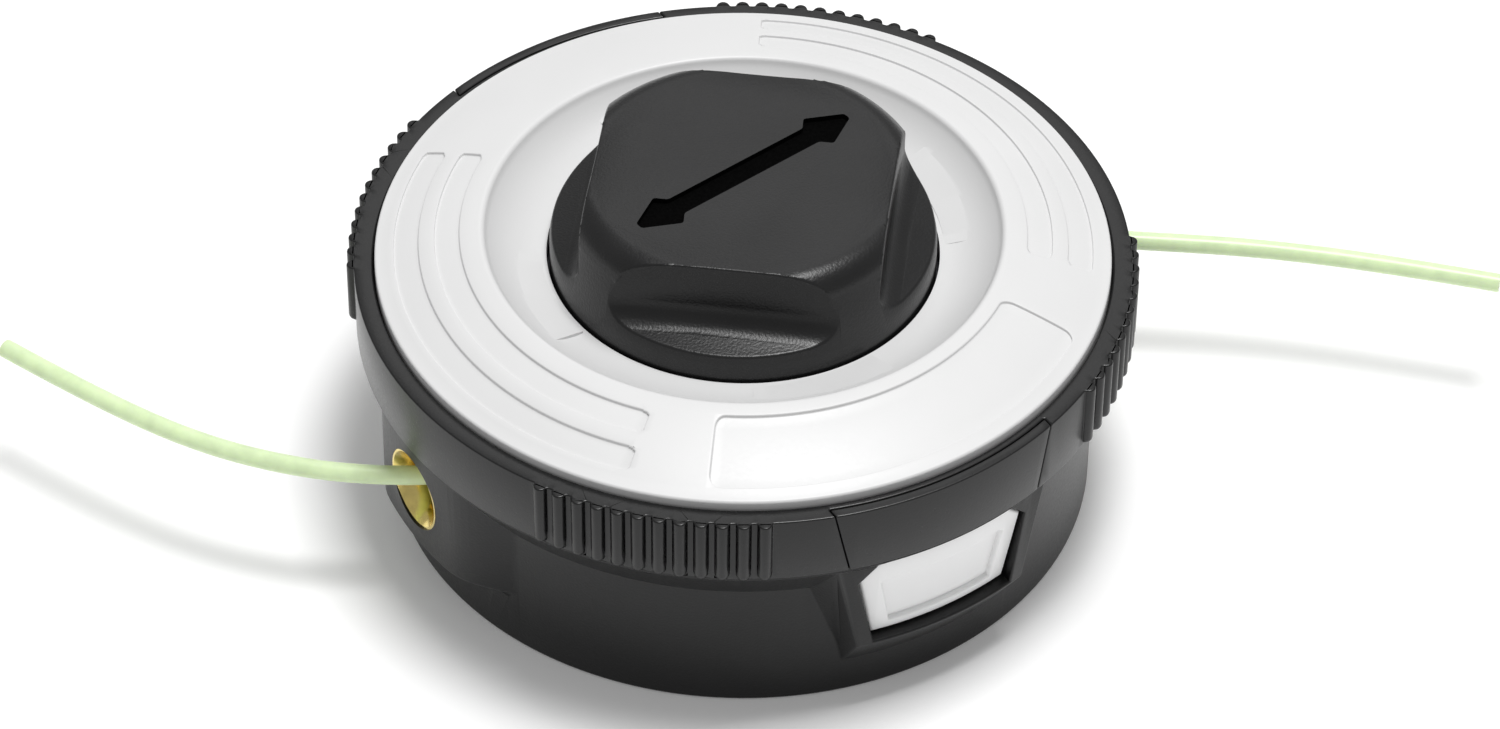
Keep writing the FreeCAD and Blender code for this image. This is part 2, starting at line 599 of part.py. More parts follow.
def cover_ring():
    """Ribbed ring of the cover with the ledge under the disc and notches for the latch panels."""
    face = section(
        (SKIRT_IN_R, SKIRT_BOTTOM_Z),
        (BAND_R, SKIRT_BOTTOM_Z),
        (BAND_R, RIM_TOP_Z),
        (RIM_INNER_R, RIM_TOP_Z),
        (RIM_INNER_R, LEDGE_Z),
        (LEDGE_IN_R, LEDGE_Z),
        (LEDGE_IN_R, LEDGE_BOTTOM_Z),
        (SKIRT_IN_R, LEDGE_BOTTOM_Z),
    )
    ribs = []
    for middle in RIB_GROUP_MIDS_DEG:
        for index in range(RIB_COUNT):
            step = RIB_GROUP_DEG / (RIB_COUNT - 1)
            ribs.append(rotated(ring_rib(), middle - RIB_GROUP_DEG / 2 + index * step))
    ring = fused(turned(face), ribs)
    notch = panel_sector(0.0, PANEL_DEPTH)
    passage = box(
        (-BRACKET_HALF_WIDTH - SEAM, BRACKET_HALF_WIDTH + SEAM),
        (-BAND_R, -SKIRT_IN_R + WALL),
        (SPIGOT_TOP_Z, LEDGE_BOTTOM_Z),
    )
    return ring.cut(around(notch, 2) + around(passage, 2))


def cone_height(radius):
    """Height of the disc's cone at a radius, without its crown."""
    share = (CONE_FOOT_R - radius) / (CONE_FOOT_R - CONE_TOP_R)
    return CONE_FOOT_Z + share * (DISH_LIP_Z - CONE_FOOT_Z)


def cone_arc(drop):
    """Crowned arc of the cone from its foot to its top, lowered by a drop."""
    middle_r = (CONE_FOOT_R + CONE_TOP_R) / 2
    middle = (middle_r, cone_height(middle_r) + CONE_CROWN - drop)
    return middle, (CONE_TOP_R, DISH_LIP_Z - drop)


def disc_body():
    """Plain disc with its conical top, dish and knob hole."""
    edge_middle = arc_middle((CONE_FOOT_R, DISC_EDGE_Z), DISC_EDGE_R, 45)
    hollow = (DISH_HOLLOW_R, RIM_TOP_Z + DISH_HOLLOW_RISE)
    under_top = (CONE_TOP_R, DISH_LIP_Z - DISC_THICKNESS)
    under_hollow = (DISH_HOLLOW_R, DISH_UNDER_Z + DISH_HOLLOW_RISE / 3)
    foot_r = LEDGE_IN_R - HOOK_FIT
    face = section(
        (DISC_R, LEDGE_Z),
        (DISC_R, DISC_EDGE_Z),
        (edge_middle, (CONE_FOOT_R, CONE_FOOT_Z)),
        cone_arc(0.0),
        (DISH_LIP_R, DISH_LIP_Z - DISH_LIP_LAND / 3),
        (hollow, (KNOB_HOLE_R, DISH_FLOOR_Z)),
        (KNOB_HOLE_R, DISH_UNDER_Z),
        under_hollow,
        (DISH_LIP_R - DISH_LIP_LAND, DISH_LIP_Z - DISC_THICKNESS - DISH_LIP_LAND),
        under_top,
        (foot_r - HOOK_WALL, cone_height(foot_r - HOOK_WALL) - DISC_THICKNESS),
        (foot_r, LEDGE_Z),
    )
    return turned(face)


def disc_recess(radii, angles, corner):
    """Tool for a shallow recess in the cone between two radii and two directions, with round corners."""
    inner, outer = radii
    start, end = angles
    lift = DISH_LIP_RISE
    low_outer = cone_height(outer) + CONE_CROWN - RECESS_DEPTH
    low_inner = cone_height(inner) + CONE_CROWN - RECESS_DEPTH
    face = section(
        (inner, low_inner),
        (outer, low_outer),
        (outer, low_outer + lift),
        (inner, low_inner + lift),
    )
    block = turned(face, start, end - start)
    uprights = [edge for edge in block.Edges if abs(edge.tangentAt(edge.FirstParameter).z) > UPRIGHT]
    return block.makeFillet(corner, uprights)


def dish_ramp():
    """Low ramp on the dish that rises along its sweep and ends in a step at +X."""
    inner, outer = RAMP_RADII
    low = DISH_FLOOR_Z - DISC_THICKNESS / 2
    lift = DISH_HOLLOW_RISE - DISH_FLOOR_RISE
    wires = []
    for index in range(RAMP_SECTIONS):
        share = index / (RAMP_SECTIONS - 1)
        rise = RAMP_START_RISE + RAMP_RISE * share
        width = RAMP_START_SHARE + (1 - RAMP_START_SHARE) * share
        reach = inner + (outer - inner) * width
        high_in = DISH_FLOOR_Z + rise
        high_out = DISH_FLOOR_Z + rise + lift * (reach - inner) / (DISH_HOLLOW_R - inner)
        face = section((inner, low), (reach, low), (reach, high_out), (inner, high_in))
        face.rotate(ORIGIN, AXIS, RAMP_SWEEP_DEG * (share - 1))
        wires.append(face.OuterWire)
    return Part.makeLoft(wires, True, False)


def disc_hook():
    """Snap hook under the disc at +X that grips below the ring's ledge."""
    tab_out_r = LEDGE_IN_R - HOOK_FIT
    tab_in_r = tab_out_r - HOOK_WALL
    bottom = LEDGE_BOTTOM_Z - HOOK_FIT - HOOK_BARB_HEIGHT
    face = section(
        (tab_in_r, bottom),
        (tab_out_r, bottom),
        (tab_out_r + HOOK_BARB, LEDGE_BOTTOM_Z - HOOK_FIT),
        (tab_out_r, LEDGE_BOTTOM_Z - HOOK_FIT),
        (tab_out_r, LEDGE_Z),
        (tab_in_r, cone_height(tab_in_r) - DISC_THICKNESS / 2),
    )
    return turned(face, -HOOK_HALF_DEG, 2 * HOOK_HALF_DEG)


def cover_disc():
    """Off-white top of the cover with its recesses, dish ramps, hooks and index teeth."""
    ramps = around(dish_ramp(), RAMP_COUNT, RAMP_STEP_DEG)
    hooks = [rotated(disc_hook(), angle) for angle in HOOK_ANGLES]
    teeth = around(index_tooth(DISH_UNDER_Z, UPPER_TOOTH_HEIGHT, -1), INDEX_TEETH)
    disc = fused(disc_body(), ramps + hooks + teeth)
    recesses = [disc_recess(PAD_RADII, PAD_ANGLES, PAD_CORNER_R)]
    for angles in BAND_ANGLES:
        for radii in BAND_RADII:
            recesses.append(disc_recess(radii, angles, BAND_CORNER_R))
    return disc.cut(recesses)


def latch_frame():
    """Latch carrier at -Y: panel in the skirt, arm over the housing wall, bracket and spring peg."""
    panel = panel_sector(SEAM, PANEL_DEPTH - SEAM)
    half = BRACKET_HALF_WIDTH
    arm_z = (SPIGOT_TOP_Z + SEAM, LEDGE_BOTTOM_Z - SEAM)
    arm = box((-half, half), (-BAND_R + PANEL_DEPTH / 2, -BRACKET_IN_Y), arm_z)
    bracket = box((-half, half), (-BRACKET_OUT_Y, -BRACKET_IN_Y), (BRACKET_FOOT_Z, arm_z[1]))
    foot = FreeCAD.Vector(0, -BRACKET_OUT_Y, LATCH_Z)
    peg = Part.makeCylinder(LATCH_PEG_R, LATCH_PEG_LENGTH, foot, FreeCAD.Vector(0, -1, 0))
    return fused(panel, [arm, bracket, peg])


def latch_front(depth):
    """Turned body whose side is the latch's leaning face, sunk by a depth."""
    top_r = BOSS_R - LATCH_FACE_INSET - depth
    foot_r = top_r - LATCH_LEAN * SKIRT_BOTTOM_Z
    return turned(section((0, 0), (foot_r, 0), (top_r, SKIRT_BOTTOM_Z), (0, SKIRT_BOTTOM_Z)))


def latch():
    """Release button at -Y: face in the window, plate behind the wall, tongue under the carrier's arm."""
    button = prism_y(latch_outline(LATCH_SIDE_GAP, LATCH_BOTTOM_GAP, LATCH_SIDE_GAP), -FAR, -LATCH_PLATE_Y)
    button = button.common(latch_front(0.0))
    side, bottom, top = LATCH_PANEL_INSETS
    insets = (LATCH_SIDE_GAP + side, LATCH_BOTTOM_GAP + bottom, LATCH_SIDE_GAP + top)
    panel = prism_y(latch_outline(*insets), -FAR, -LATCH_PLATE_Y)
    panel = panel.cut(latch_front(LATCH_PANEL_DEPTH))
    half = LATCH_PLATE_HALF_WIDTH
    plate_y = (-LATCH_PLATE_Y, -LATCH_PLATE_Y + LATCH_PLATE)
    plate_z = (LATCH_BOTTOM_Z - LATCH_PLATE_MARGIN, LATCH_TOP_Z + LATCH_PLATE_MARGIN)
    plate = box((-half, half), plate_y, plate_z)
    tongue_half = LATCH_TONGUE_HALF_WIDTH
    tongue = box((-tongue_half, tongue_half), plate_y, (plate_z[1], SPIGOT_TOP_Z - SEAM))
    spring_r = LATCH_SPRING_R + LATCH_SPRING_WIRE
    seat = FreeCAD.Vector(0, plate_y[1], LATCH_Z)
    pocket = Part.makeCylinder(spring_r, LATCH_SPRING_POCKET, seat, FreeCAD.Vector(0, -1, 0))
    return fused(button, [plate, tongue]).cut([panel, pocket])


def latch_spring():
    """Coil spring at -Y between the carrier's bracket and the pocket of the latch."""
    spring = coil_spring(LATCH_SPRING_R, LATCH_SPRING_WIRE, LATCH_SPRING_REST, LATCH_SPRING_TURNS)
    spring.rotate(ORIGIN, FreeCAD.Vector(1, 0, 0), 90)
    spring.translate(FreeCAD.Vector(0, -BRACKET_OUT_Y, LATCH_Z))
    return spring


def knob_body():
    """Turned form of the knob, with a soft shoulder and a flange that runs in the disc."""
    shoulder_z = KNOB_TOP_Z - KNOB_SHOULDER_DROP
    bend = (
        KNOB_TOP_R + KNOB_SHOULDER_FULLNESS * (KNOB_SHOULDER_R - KNOB_TOP_R),
        shoulder_z + KNOB_SHOULDER_FULLNESS * KNOB_SHOULDER_DROP,
    )
    face = section(
        (0, SPOOL_TOP_Z),
        (KNOB_FLANGE_R, SPOOL_TOP_Z),
        (KNOB_FLANGE_R, SCOOP_LEDGE_Z - KNOB_WALL / 2),
        (KNOB_SHOULDER_R, shoulder_z),
        (bend, (KNOB_TOP_R, KNOB_TOP_Z)),
        (0, KNOB_TOP_Z),
    )
    return turned(face)


def finger_scoop():
    """Tool for a finger scoop at +X: drafted wall, round root and a ledge, hollow seen from above."""
    top = KNOB_TOP_Z + KNOB_WALL
    root = SCOOP_FILLET_R
    foot = SCOOP_DISTANCE - SCOOP_DRAFT
    round_middle = arc_middle((foot + root, SCOOP_LEDGE_Z + root), root, 225)
    far = KNOB_FLANGE_R + KNOB_WALL
    face = section(
        (SCOOP_DISTANCE, top),
        (foot, SCOOP_LEDGE_Z + root),
        (round_middle, (foot + root, SCOOP_LEDGE_Z)),
        (far, SCOOP_LEDGE_Z - SCOOP_DRAFT),
        (far, top),
    )
    centre = FreeCAD.Vector(SCOOP_DISTANCE + SCOOP_PLAN_R, 0, 0)
    half = math.degrees(KNOB_FLANGE_R / SCOOP_PLAN_R)
    face.rotate(centre, AXIS, -half)
    return face.revolve(centre, AXIS, 2 * half)


def knob_arrow():
    """Tool for the double arrow in the top of the knob, along +X."""
    base = ARROW_HALF_LENGTH - ARROW_HEAD_LENGTH
    neck = base - ARROW_BARB_LENGTH
    quarter = (
        (neck, ARROW_SHAFT_HALF_WIDTH),
        (base, ARROW_HEAD_HALF_WIDTH),
        (ARROW_HALF_LENGTH, ARROW_TIP_HALF_WIDTH),
    )
    right = quarter + tuple((x, -y) for x, y in reversed(quarter))
    outline = right + tuple((-x, -y) for x, y in right)
    points = [FreeCAD.Vector(x, y, KNOB_TOP_Z - ARROW_DEPTH) for x, y in outline]
    return Part.Face(Part.makePolygon(points + points[:1])).extrude(AXIS * (ARROW_DEPTH + KNOB_WALL))


def knob():
    """Hollow bump knob with its scoops, arrow and a plug that enters the spool."""
    scoops = around(finger_scoop(), SCOOP_COUNT, SCOOP_TURN_DEG)
    low_top = SCOOP_LEDGE_Z - SCOOP_DRAFT - KNOB_LEDGE_WALL
    low_hollow = sector((SPOOL_BORE_R, KNOB_FLANGE_R - KNOB_WALL), (SPOOL_TOP_Z, low_top), 0, 180)
    high_r = SCOOP_DISTANCE - SCOOP_DRAFT - KNOB_WALL
    high_hollow = sector((SPOOL_BORE_R, high_r), (SPOOL_TOP_Z, KNOB_TOP_Z - ARROW_DEPTH - KNOB_WALL), 0, 180)
    core_hollow = disc_block(SPOOL_BORE_R - KNOB_WALL, SPOOL_TOP_Z, KNOB_TOP_Z - ARROW_DEPTH - KNOB_WALL)
    body = knob_body().cut(scoops + [low_hollow, high_hollow, core_hollow, knob_arrow()])
    plug = sector((SPOOL_BORE_R - KNOB_WALL, SPOOL_BORE_R), (SPOOL_TOP_Z - PLUG_LENGTH, SPOOL_TOP_Z), 0, 180)
    return rotated(fused(body, [plug]), KNOB_TURN_DEG)


def spool():
    """Spool with two chambers, a spring pocket, line notches and index teeth on both ends."""
    face = section(
        (SPOOL_POCKET_R, SPOOL_BOTTOM_Z),
        (SPOOL_FLANGE_R, SPOOL_BOTTOM_Z),
        (SPOOL_FLANGE_R, SPOOL_LOWER_Z),
        (SPOOL_CORE_R, SPOOL_LOWER_Z),
        (SPOOL_CORE_R, SPOOL_MIDDLE_Z),
        (SPOOL_FLANGE_R, SPOOL_MIDDLE_Z),
        (SPOOL_FLANGE_R, SPOOL_UPPER_Z),
        (SPOOL_CORE_R, SPOOL_UPPER_Z),
        (SPOOL_CORE_R, SPOOL_UPPER_Z + SPOOL_CHAMBER),
        (SPOOL_FLANGE_R, SPOOL_UPPER_Z + SPOOL_CHAMBER),
        (SPOOL_FLANGE_R, SPOOL_TOP_Z),
        (SPOOL_BORE_R, SPOOL_TOP_Z),
        (SPOOL_BORE_R, SPOOL_POCKET_Z),
        (SPOOL_POCKET_R, SPOOL_POCKET_Z),
    )
    upper_teeth = around(index_tooth(SPOOL_TOP_Z, UPPER_TOOTH_HEIGHT, 1), INDEX_TEETH)
    lower_teeth = around(index_tooth(SPOOL_BOTTOM_Z, LOWER_TOOTH_HEIGHT, -1), INDEX_TEETH)
    body = fused(turned(face), upper_teeth + lower_teeth)
    half = LINE_NOTCH_WIDTH / 2
    notch = box(
        (SPOOL_FLANGE_R - LINE_NOTCH_DEPTH, SPOOL_FLANGE_R + WALL),
        (-half, half),
        (SPOOL_MIDDLE_Z, SPOOL_UPPER_Z),
    )
    return rotated(body.cut(around(notch, 2)), KNOB_TURN_DEG)


def winding(bottom):
    """Line wound in one chamber of the spool, with its outer turns showing as ridges."""
    steps = []
    turn = SPOOL_CHAMBER / WOUND_TURNS
    for index in range(WOUND_TURNS):
        low = bottom + index * turn
        steps.append(((WOUND_R + LINE_D / 3, low + turn / 2), (WOUND_R, low + turn)))
    face = section((SPOOL_CORE_R, bottom), (WOUND_R, bottom), *steps, (SPOOL_CORE_R, bottom + SPOOL_CHAMBER))
    return turned(face)


def thrust_washer():
    """Washer that carries the bump spring's push to the spool."""
    heights = (WASHER_TOP_Z - WASHER_THICKNESS, WASHER_TOP_Z)
    return sector((POST_R + WASHER_FIT, WASHER_R), heights, 0, 180)


def bump_spring():
    """Coil spring round the post between the housing floor and the washer."""
    length = WASHER_TOP_Z - WASHER_THICKNESS - FLOOR
    spring = coil_spring(BUMP_SPRING_R, BUMP_SPRING_WIRE, length, BUMP_SPRING_TURNS)
    spring.translate(AXIS * FLOOR)
    return spring


def free_line(name, route):
    """Tube along a route at the line's height: straight runs joined by arcs as large as the runs allow."""
    points = [FreeCAD.Vector(x, y, LINE_Z) for x, y in route]
    edges = []
    here = points[0]
    radii = []
    for before, corner, after in zip(points, points[1:], points[2:]):
        come = corner - before
        leave = after - corner
        half_turn = come.getAngle(leave) / 2
        reach = LINE_BEND_SHARE * min(come.Length, leave.Length)
        radii.append(reach / math.tan(half_turn))
        start = corner - FreeCAD.Vector(come).normalize() * reach
        end = corner + FreeCAD.Vector(leave).normalize() * reach
        inward = (start + end) / 2 - corner
        sagitta = radii[-1] / math.cos(half_turn) - radii[-1]
        middle = corner + inward.normalize() * sagitta
        edges.append(Part.makeLine(here, start))
        edges.append(Part.Arc(start, middle, end).toShape())
        here = end
    edges.append(Part.makeLine(here, points[-1]))
    path = Part.Wire(edges)
    ring = Part.Wire(Part.makeCircle(LINE_D / 2, points[0], points[1] - points[0]))
    tube = path.makePipeShell([ring], True, True)
    share = tube.Volume / (math.pi * LINE_D ** 2 / 4 * path.Length)
    print(name, "length", round(path.Length, 1), "volume share", round(share, 4))
    print(name, "bend radii", [round(radius) for radius in radii])
    return tube


def trimmer_head():
    """Every piece of the head by its node name."""
    pieces = {
        "housing": housing(),
        "threaded_insert": threaded_insert(),
        "cover_ring": cover_ring(),
        "cover_disc": cover_disc(),
        "knob": knob(),
        "spool": spool(),
        "winding_lower": winding(SPOOL_LOWER_Z),
        "winding_upper": winding(SPOOL_UPPER_Z),
        "thrust_washer": thrust_washer(),
        "bump_spring": bump_spring(),
        "eyelet_right": eyelet(),
        "eyelet_left": rotated(eyelet(), 180),
        "line_left": free_line("line_left", LINE_LEFT_ROUTE),
        "line_right": free_line("line_right", LINE_RIGHT_ROUTE),
    }
    for side, turn in (("front", 0), ("back", 180)):
        pieces["latch_frame_" + side] = rotated(latch_frame(), turn)
        pieces["latch_" + side] = rotated(latch(), turn)
        pieces["latch_spring_" + side] = rotated(latch_spring(), turn)
    return pieces


os.makedirs("parts", exist_ok=True)
for node, shape in trimmer_head().items():
    print(node, "solids", len(shape.Solids), "valid", shape.isValid(), "volume", round(shape.Volume, 1))
    shape.exportStep("parts/" + node + ".step")
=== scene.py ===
"""Models the pieces of a bump feed trimmer head round its solids, and sets up a plain studio.

Everything is in metres, in the solids' own frame: the spin axis is +Z, the base is at Z 0, the line
leaves along X and the release latches face -Y and +Y.
"""

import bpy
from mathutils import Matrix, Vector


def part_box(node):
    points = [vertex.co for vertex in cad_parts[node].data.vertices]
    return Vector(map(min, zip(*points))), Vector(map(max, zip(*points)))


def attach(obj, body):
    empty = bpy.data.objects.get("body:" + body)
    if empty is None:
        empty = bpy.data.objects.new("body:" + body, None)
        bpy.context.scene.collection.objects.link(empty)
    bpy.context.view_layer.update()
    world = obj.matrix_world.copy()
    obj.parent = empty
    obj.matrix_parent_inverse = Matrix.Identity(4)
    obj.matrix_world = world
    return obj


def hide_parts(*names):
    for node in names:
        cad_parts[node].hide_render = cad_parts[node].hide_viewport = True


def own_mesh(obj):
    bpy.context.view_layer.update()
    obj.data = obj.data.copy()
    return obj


bl_info = {
    "name": "Bump Feed Trimmer Head",
    "version": (1, 0, 0),
    "blender": (4, 5, 0),
    "location": "View3D > Sidebar > Trimmer Head",
    "description": "Models the housing, cover, knob, latches, springs and cut line of a trimmer head",
    "category": "Object",
}

import math

import bmesh
import bpy
from mathutils import Matrix, Vector

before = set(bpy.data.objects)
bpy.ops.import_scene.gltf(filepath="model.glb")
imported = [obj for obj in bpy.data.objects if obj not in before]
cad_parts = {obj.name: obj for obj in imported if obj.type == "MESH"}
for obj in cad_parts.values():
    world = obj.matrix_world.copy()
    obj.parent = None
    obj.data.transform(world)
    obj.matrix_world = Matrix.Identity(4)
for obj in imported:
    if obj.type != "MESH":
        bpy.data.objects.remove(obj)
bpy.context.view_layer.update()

MM = 0.001
LOW = 0
HIGH = 1
UP = Vector((0, 0, 1))
FULL_TURN = 2 * math.pi
HALF_TURN = math.pi
QUARTER_TURN = math.pi / 2
WELD = 0.002 * MM              # vertices closer than this are one
FAR = 0.15                     # beyond everything, for cutting tools
OUT_OF_FRONT = Vector((0, -FAR, 0))    # how tools reach out of the front, at -Y
THREAD_FLANK = math.radians(30)        # slope of a metric thread's flank

# Turn between two faces from which an edge counts as sharp, and the further turn to its full rounding
SLIGHT_EDGE = math.radians(25)
PLAIN_EDGE = math.radians(30)
CLEAR_EDGE = math.radians(40)
STEEP_EDGE = math.radians(50)
EDGE_RANGE = math.radians(25)

# Places read from the solids
PARTING_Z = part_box("cover_ring")[LOW].z
RIM_TOP_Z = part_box("cover_ring")[HIGH].z
PLUG_BOTTOM_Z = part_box("knob")[LOW].z
WASHER_BOTTOM_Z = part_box("thrust_washer")[LOW].z
EYELET_FACE_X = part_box("eyelet_right")[HIGH].x
EYELET_START_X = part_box("eyelet_right")[LOW].x
LINE_Z = (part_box("eyelet_right")[LOW].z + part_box("eyelet_right")[HIGH].z) / 2
INSERT_TOP_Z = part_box("threaded_insert")[HIGH].z
LATCH_PLATE_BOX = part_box("latch_front")
BRACKET_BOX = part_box("latch_frame_front")
LATCH_SPRING_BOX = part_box("latch_spring_front")


# Properties

def size(label, what, millimetres):
    """Length that the sidebar shows in the scene's units."""
    return bpy.props.FloatProperty(
        name=label, description=what, default=millimetres * MM, unit="LENGTH", precision=5)


def angle(label, what, degrees):
    """Angle that the sidebar shows in degrees."""
    return bpy.props.FloatProperty(
        name=label, description=what, default=math.radians(degrees), subtype="ANGLE")


def count(label, what, number):
    """Number of like features."""
    return bpy.props.IntProperty(name=label, description=what, default=number, min=1)


def colour(label, what, red, green, blue):
    """Colour of a finish."""
    return bpy.props.FloatVectorProperty(
        name=label, description=what, default=(red, green, blue), subtype="COLOR", min=0.0, max=1.0)


def factor(label, what, value):
    """Share between none and all."""
    return bpy.props.FloatProperty(
        name=label, description=what, default=value, subtype="FACTOR", min=0.0, max=1.0)


def place(label, what, x, y, z):
    """Point in the solids' frame."""
    return bpy.props.FloatVectorProperty(
        name=label, description=what, default=(x * MM, y * MM, z * MM),
        subtype="XYZ", unit="LENGTH", precision=5)


def camera_length(label, what, millimetres):
    """Length in a camera, in millimetres."""
    return bpy.props.FloatProperty(name=label, description=what, default=millimetres, unit="CAMERA")


def power(label, what, value):
    """Power of a light in watts or strength of a glow."""
    return bpy.props.FloatProperty(name=label, description=what, default=value, min=0.0)


class HousingSizes(bpy.types.PropertyGroup):
    """Moulded cup that the spool turns in."""
    wall_radius: size("Wall radius", "Outside of the wall below the slope", 49.6)
    wall: size("Wall", "Thickness of the wall", 2.5)
    floor: size("Floor", "Thickness of the floor", 3.0)
    base_round: size("Base rounding", "Rounding round the bottom", 0.6)
    slope_height: size("Slope height", "Height of the slope from the wall out to the cover", 6.6)
    shoulder_radius: size("Shoulder radius", "Outside of the shoulder under the cover", 53.6)
    shoulder_land: size("Shoulder land", "Upright edge of the shoulder", 0.6)
    spigot_radius: size("Spigot radius", "Outside of the wall that enters the cover", 50.8)
    spigot_wall: size("Spigot wall", "Thickness of the wall that enters the cover", 2.2)
    spigot_height: size("Spigot height", "Height of the wall above the parting line", 5.4)
    post_radius: size("Post radius", "Post that the spool runs on", 9.0)
    post_top: size("Post top", "Height of the post", 24.0)
    boss_radius: size("Boss radius", "Outside of the bosses on the wall", 53.3)
    boss_root: size("Boss root", "How deep a boss is rooted in the wall", 0.7)
    eyelet_boss_bottom: size("Eyelet boss bottom", "Lower end of the swelling round an eyelet", 6.5)
    eyelet_boss_chamfer: size("Eyelet boss chamfer", "Height of the slope under the swelling", 3.6)
    eyelet_boss_flat: angle("Eyelet boss flat", "Half angle of the swelling's full height", 9.0)
    eyelet_boss_ramp: angle("Eyelet boss ramp", "Further angle over which the swelling fades", 15.0)
    latch_boss_bottom: size("Latch boss bottom", "Lower end of the boss round a latch", 6.0)
    latch_boss_chamfer: size("Latch boss chamfer", "Height of the slope under the boss", 5.8)
    latch_boss_low_half: angle("Latch boss low half", "Half angle of its face at its bottom", 13.3)
    latch_boss_half: angle("Latch boss half", "Half angle of its face at its top", 18.0)
    latch_boss_low_reach: angle("Latch boss low reach", "Half angle with its sides at its bottom", 16.1)
    latch_boss_reach: angle("Latch boss reach", "Half angle with its sides at its top", 25.2)
    recess_inner: size("Base recess inner", "Inner radius of the recess in the base", 15.0)
    recess_outer: size("Base recess outer", "Outer radius of the recess in the base", 43.0)
    recess_depth: size("Base recess depth", "Depth of the recess in the base", 1.0)
    base_ribs: count("Base ribs", "Ribs across the recess in the base", 8)
    base_rib_width: size("Base rib width", "Width of a rib across the recess", 3.0)
    edge: size("Edge", "Softness of the moulded edges", 0.3)


class RingSizes(bpy.types.PropertyGroup):
    """Ribbed ring of the cover."""
    band_radius: size("Band radius", "Outside of the smooth band", 54.0)
    rim_radius: size("Rim radius", "Inside of the flat rim", 51.4)
    skirt_radius: size("Skirt radius", "Inside of the skirt", 51.1)
    ledge_radius: size("Ledge radius", "Inside of the ledge that carries the disc", 47.5)
    ledge_depth: size("Ledge depth", "Ledge below the rim", 1.4)
    ledge: size("Ledge", "Thickness of the ledge", 1.8)
    ribs: count("Ribs", "Grip ribs in each of the four groups", 12)
    rib_group: angle("Rib group", "First rib to last rib of a group", 33.0)
    rib_radius: size("Rib radius", "Rounding of a rib", 0.95)
    rib_proud: size("Rib height", "Ribs stand this far out of the band", 1.0)
    rib_lift: size("Rib lift", "Lower end of a rib above the parting line", 0.3)
    panel_half: size("Panel half", "Half width of the panel over a latch, at the parting line", 15.1)
    panel_depth: size("Panel depth", "Depth of the notch that takes the panel", 1.6)
    seam: size("Seam", "Gap at each side of the panel", 0.12)
    edge: size("Edge", "Softness of the moulded edges", 0.22)


class DiscSizes(bpy.types.PropertyGroup):
    """White disc in the top of the cover."""
    radius: size("Radius", "Outside of the disc", 51.1)
    edge_rise: size("Edge rise", "Straight edge above the rim", 0.75)
    edge_round: size("Edge rounding", "Rounding of the outer edge", 0.45)
    thickness: size("Thickness", "Thickness of the moulding", 2.2)
    lip_radius: size("Lip radius", "Lip of the dish", 36.0)
    lip_rise: size("Lip rise", "Lip of the dish above the rim", 5.2)
    lip_land: size("Lip land", "Rounded top of the lip", 0.7)
    crown: size("Crown", "Bulge of the cone at its middle", 0.35)
    hole_radius: size("Hole radius", "Hole that the knob comes through", 27.3)
    floor_rise: size("Dish floor rise", "Edge of the knob hole above the rim", 0.5)
    hollow_radius: size("Dish hollow radius", "Deepest curve of the dish", 31.0)
    hollow_rise: size("Dish hollow rise", "Height of that curve above the rim", 1.15)
    recess_depth: size("Recess depth", "Depth of the flats let into the cone", 0.45)
    pad_inner: size("Pad inner", "Inner radius of the wide recess", 38.3)
    pad_outer: size("Pad outer", "Outer radius of the wide recess", 49.0)
    pad_start: angle("Pad start", "Direction of one end of the wide recess", -127.0)
    pad_end: angle("Pad end", "Direction of its other end", -54.0)
    pad_corner: size("Pad corner", "Corner of the wide recess", 2.4)
    band_width: size("Band width", "Width of the narrow recesses", 3.45)
    inner_band: size("Inner band", "Inner radius of the inner narrow recess", 39.3)
    outer_band: size("Outer band", "Inner radius of the outer narrow recess", 45.0)
    band_half: angle("Band half", "Half angle of a narrow recess", 47.0)
    left_band: angle("Left band", "Middle direction of the recesses on the left", 173.0)
    right_band: angle("Right band", "Middle direction of the recesses on the right", 8.25)
    band_corner: size("Band corner", "Corner of the narrow recesses", 1.4)
    ramps: count("Ramps", "Low ramps in the dish", 4)
    ramp_step: angle("Ramp step", "Direction of the first ramp's step", 7.0)
    ramp_sweep: angle("Ramp sweep", "Angle over which a ramp rises", 36.0)
    ramp_rise: size("Ramp rise", "Height of a ramp's step", 0.4)
    ramp_width: size("Ramp width", "Width of a ramp", 5.4)
    ramp_margin: size("Ramp margin", "Ramp from the knob hole", 0.7)
    hook_half: angle("Hook half", "Half angle of a snap hook", 4.0)
    hook_wall: size("Hook wall", "Thickness of a snap hook", 1.5)
    hook_barb: size("Hook barb", "Reach of a snap hook's barb", 0.8)
    hook_fit: size("Hook fit", "Snap hook to the ledge", 0.15)
    edge: size("Edge", "Softness of the recesses' edges", 0.16)


class IndexTeethSizes(bpy.types.PropertyGroup):
    """Ramped teeth that the spool indexes on."""
    number: count("Teeth", "Teeth in a ring", 8)
    inner_radius: size("Inner radius", "Inner end of a tooth", 27.8)
    width: size("Width", "Length of a tooth outwards", 5.2)
    length: size("Length", "Length of a tooth along its ring", 12.0)
    flat: size("Flat", "Flat at the tip of a tooth", 0.5)
    root: size("Root", "How deep a tooth is rooted", 0.5)
    upper_height: size("Upper height", "Height of the disc's teeth", 1.25)
    lower_height: size("Lower height", "Height of the housing's teeth", 1.6)


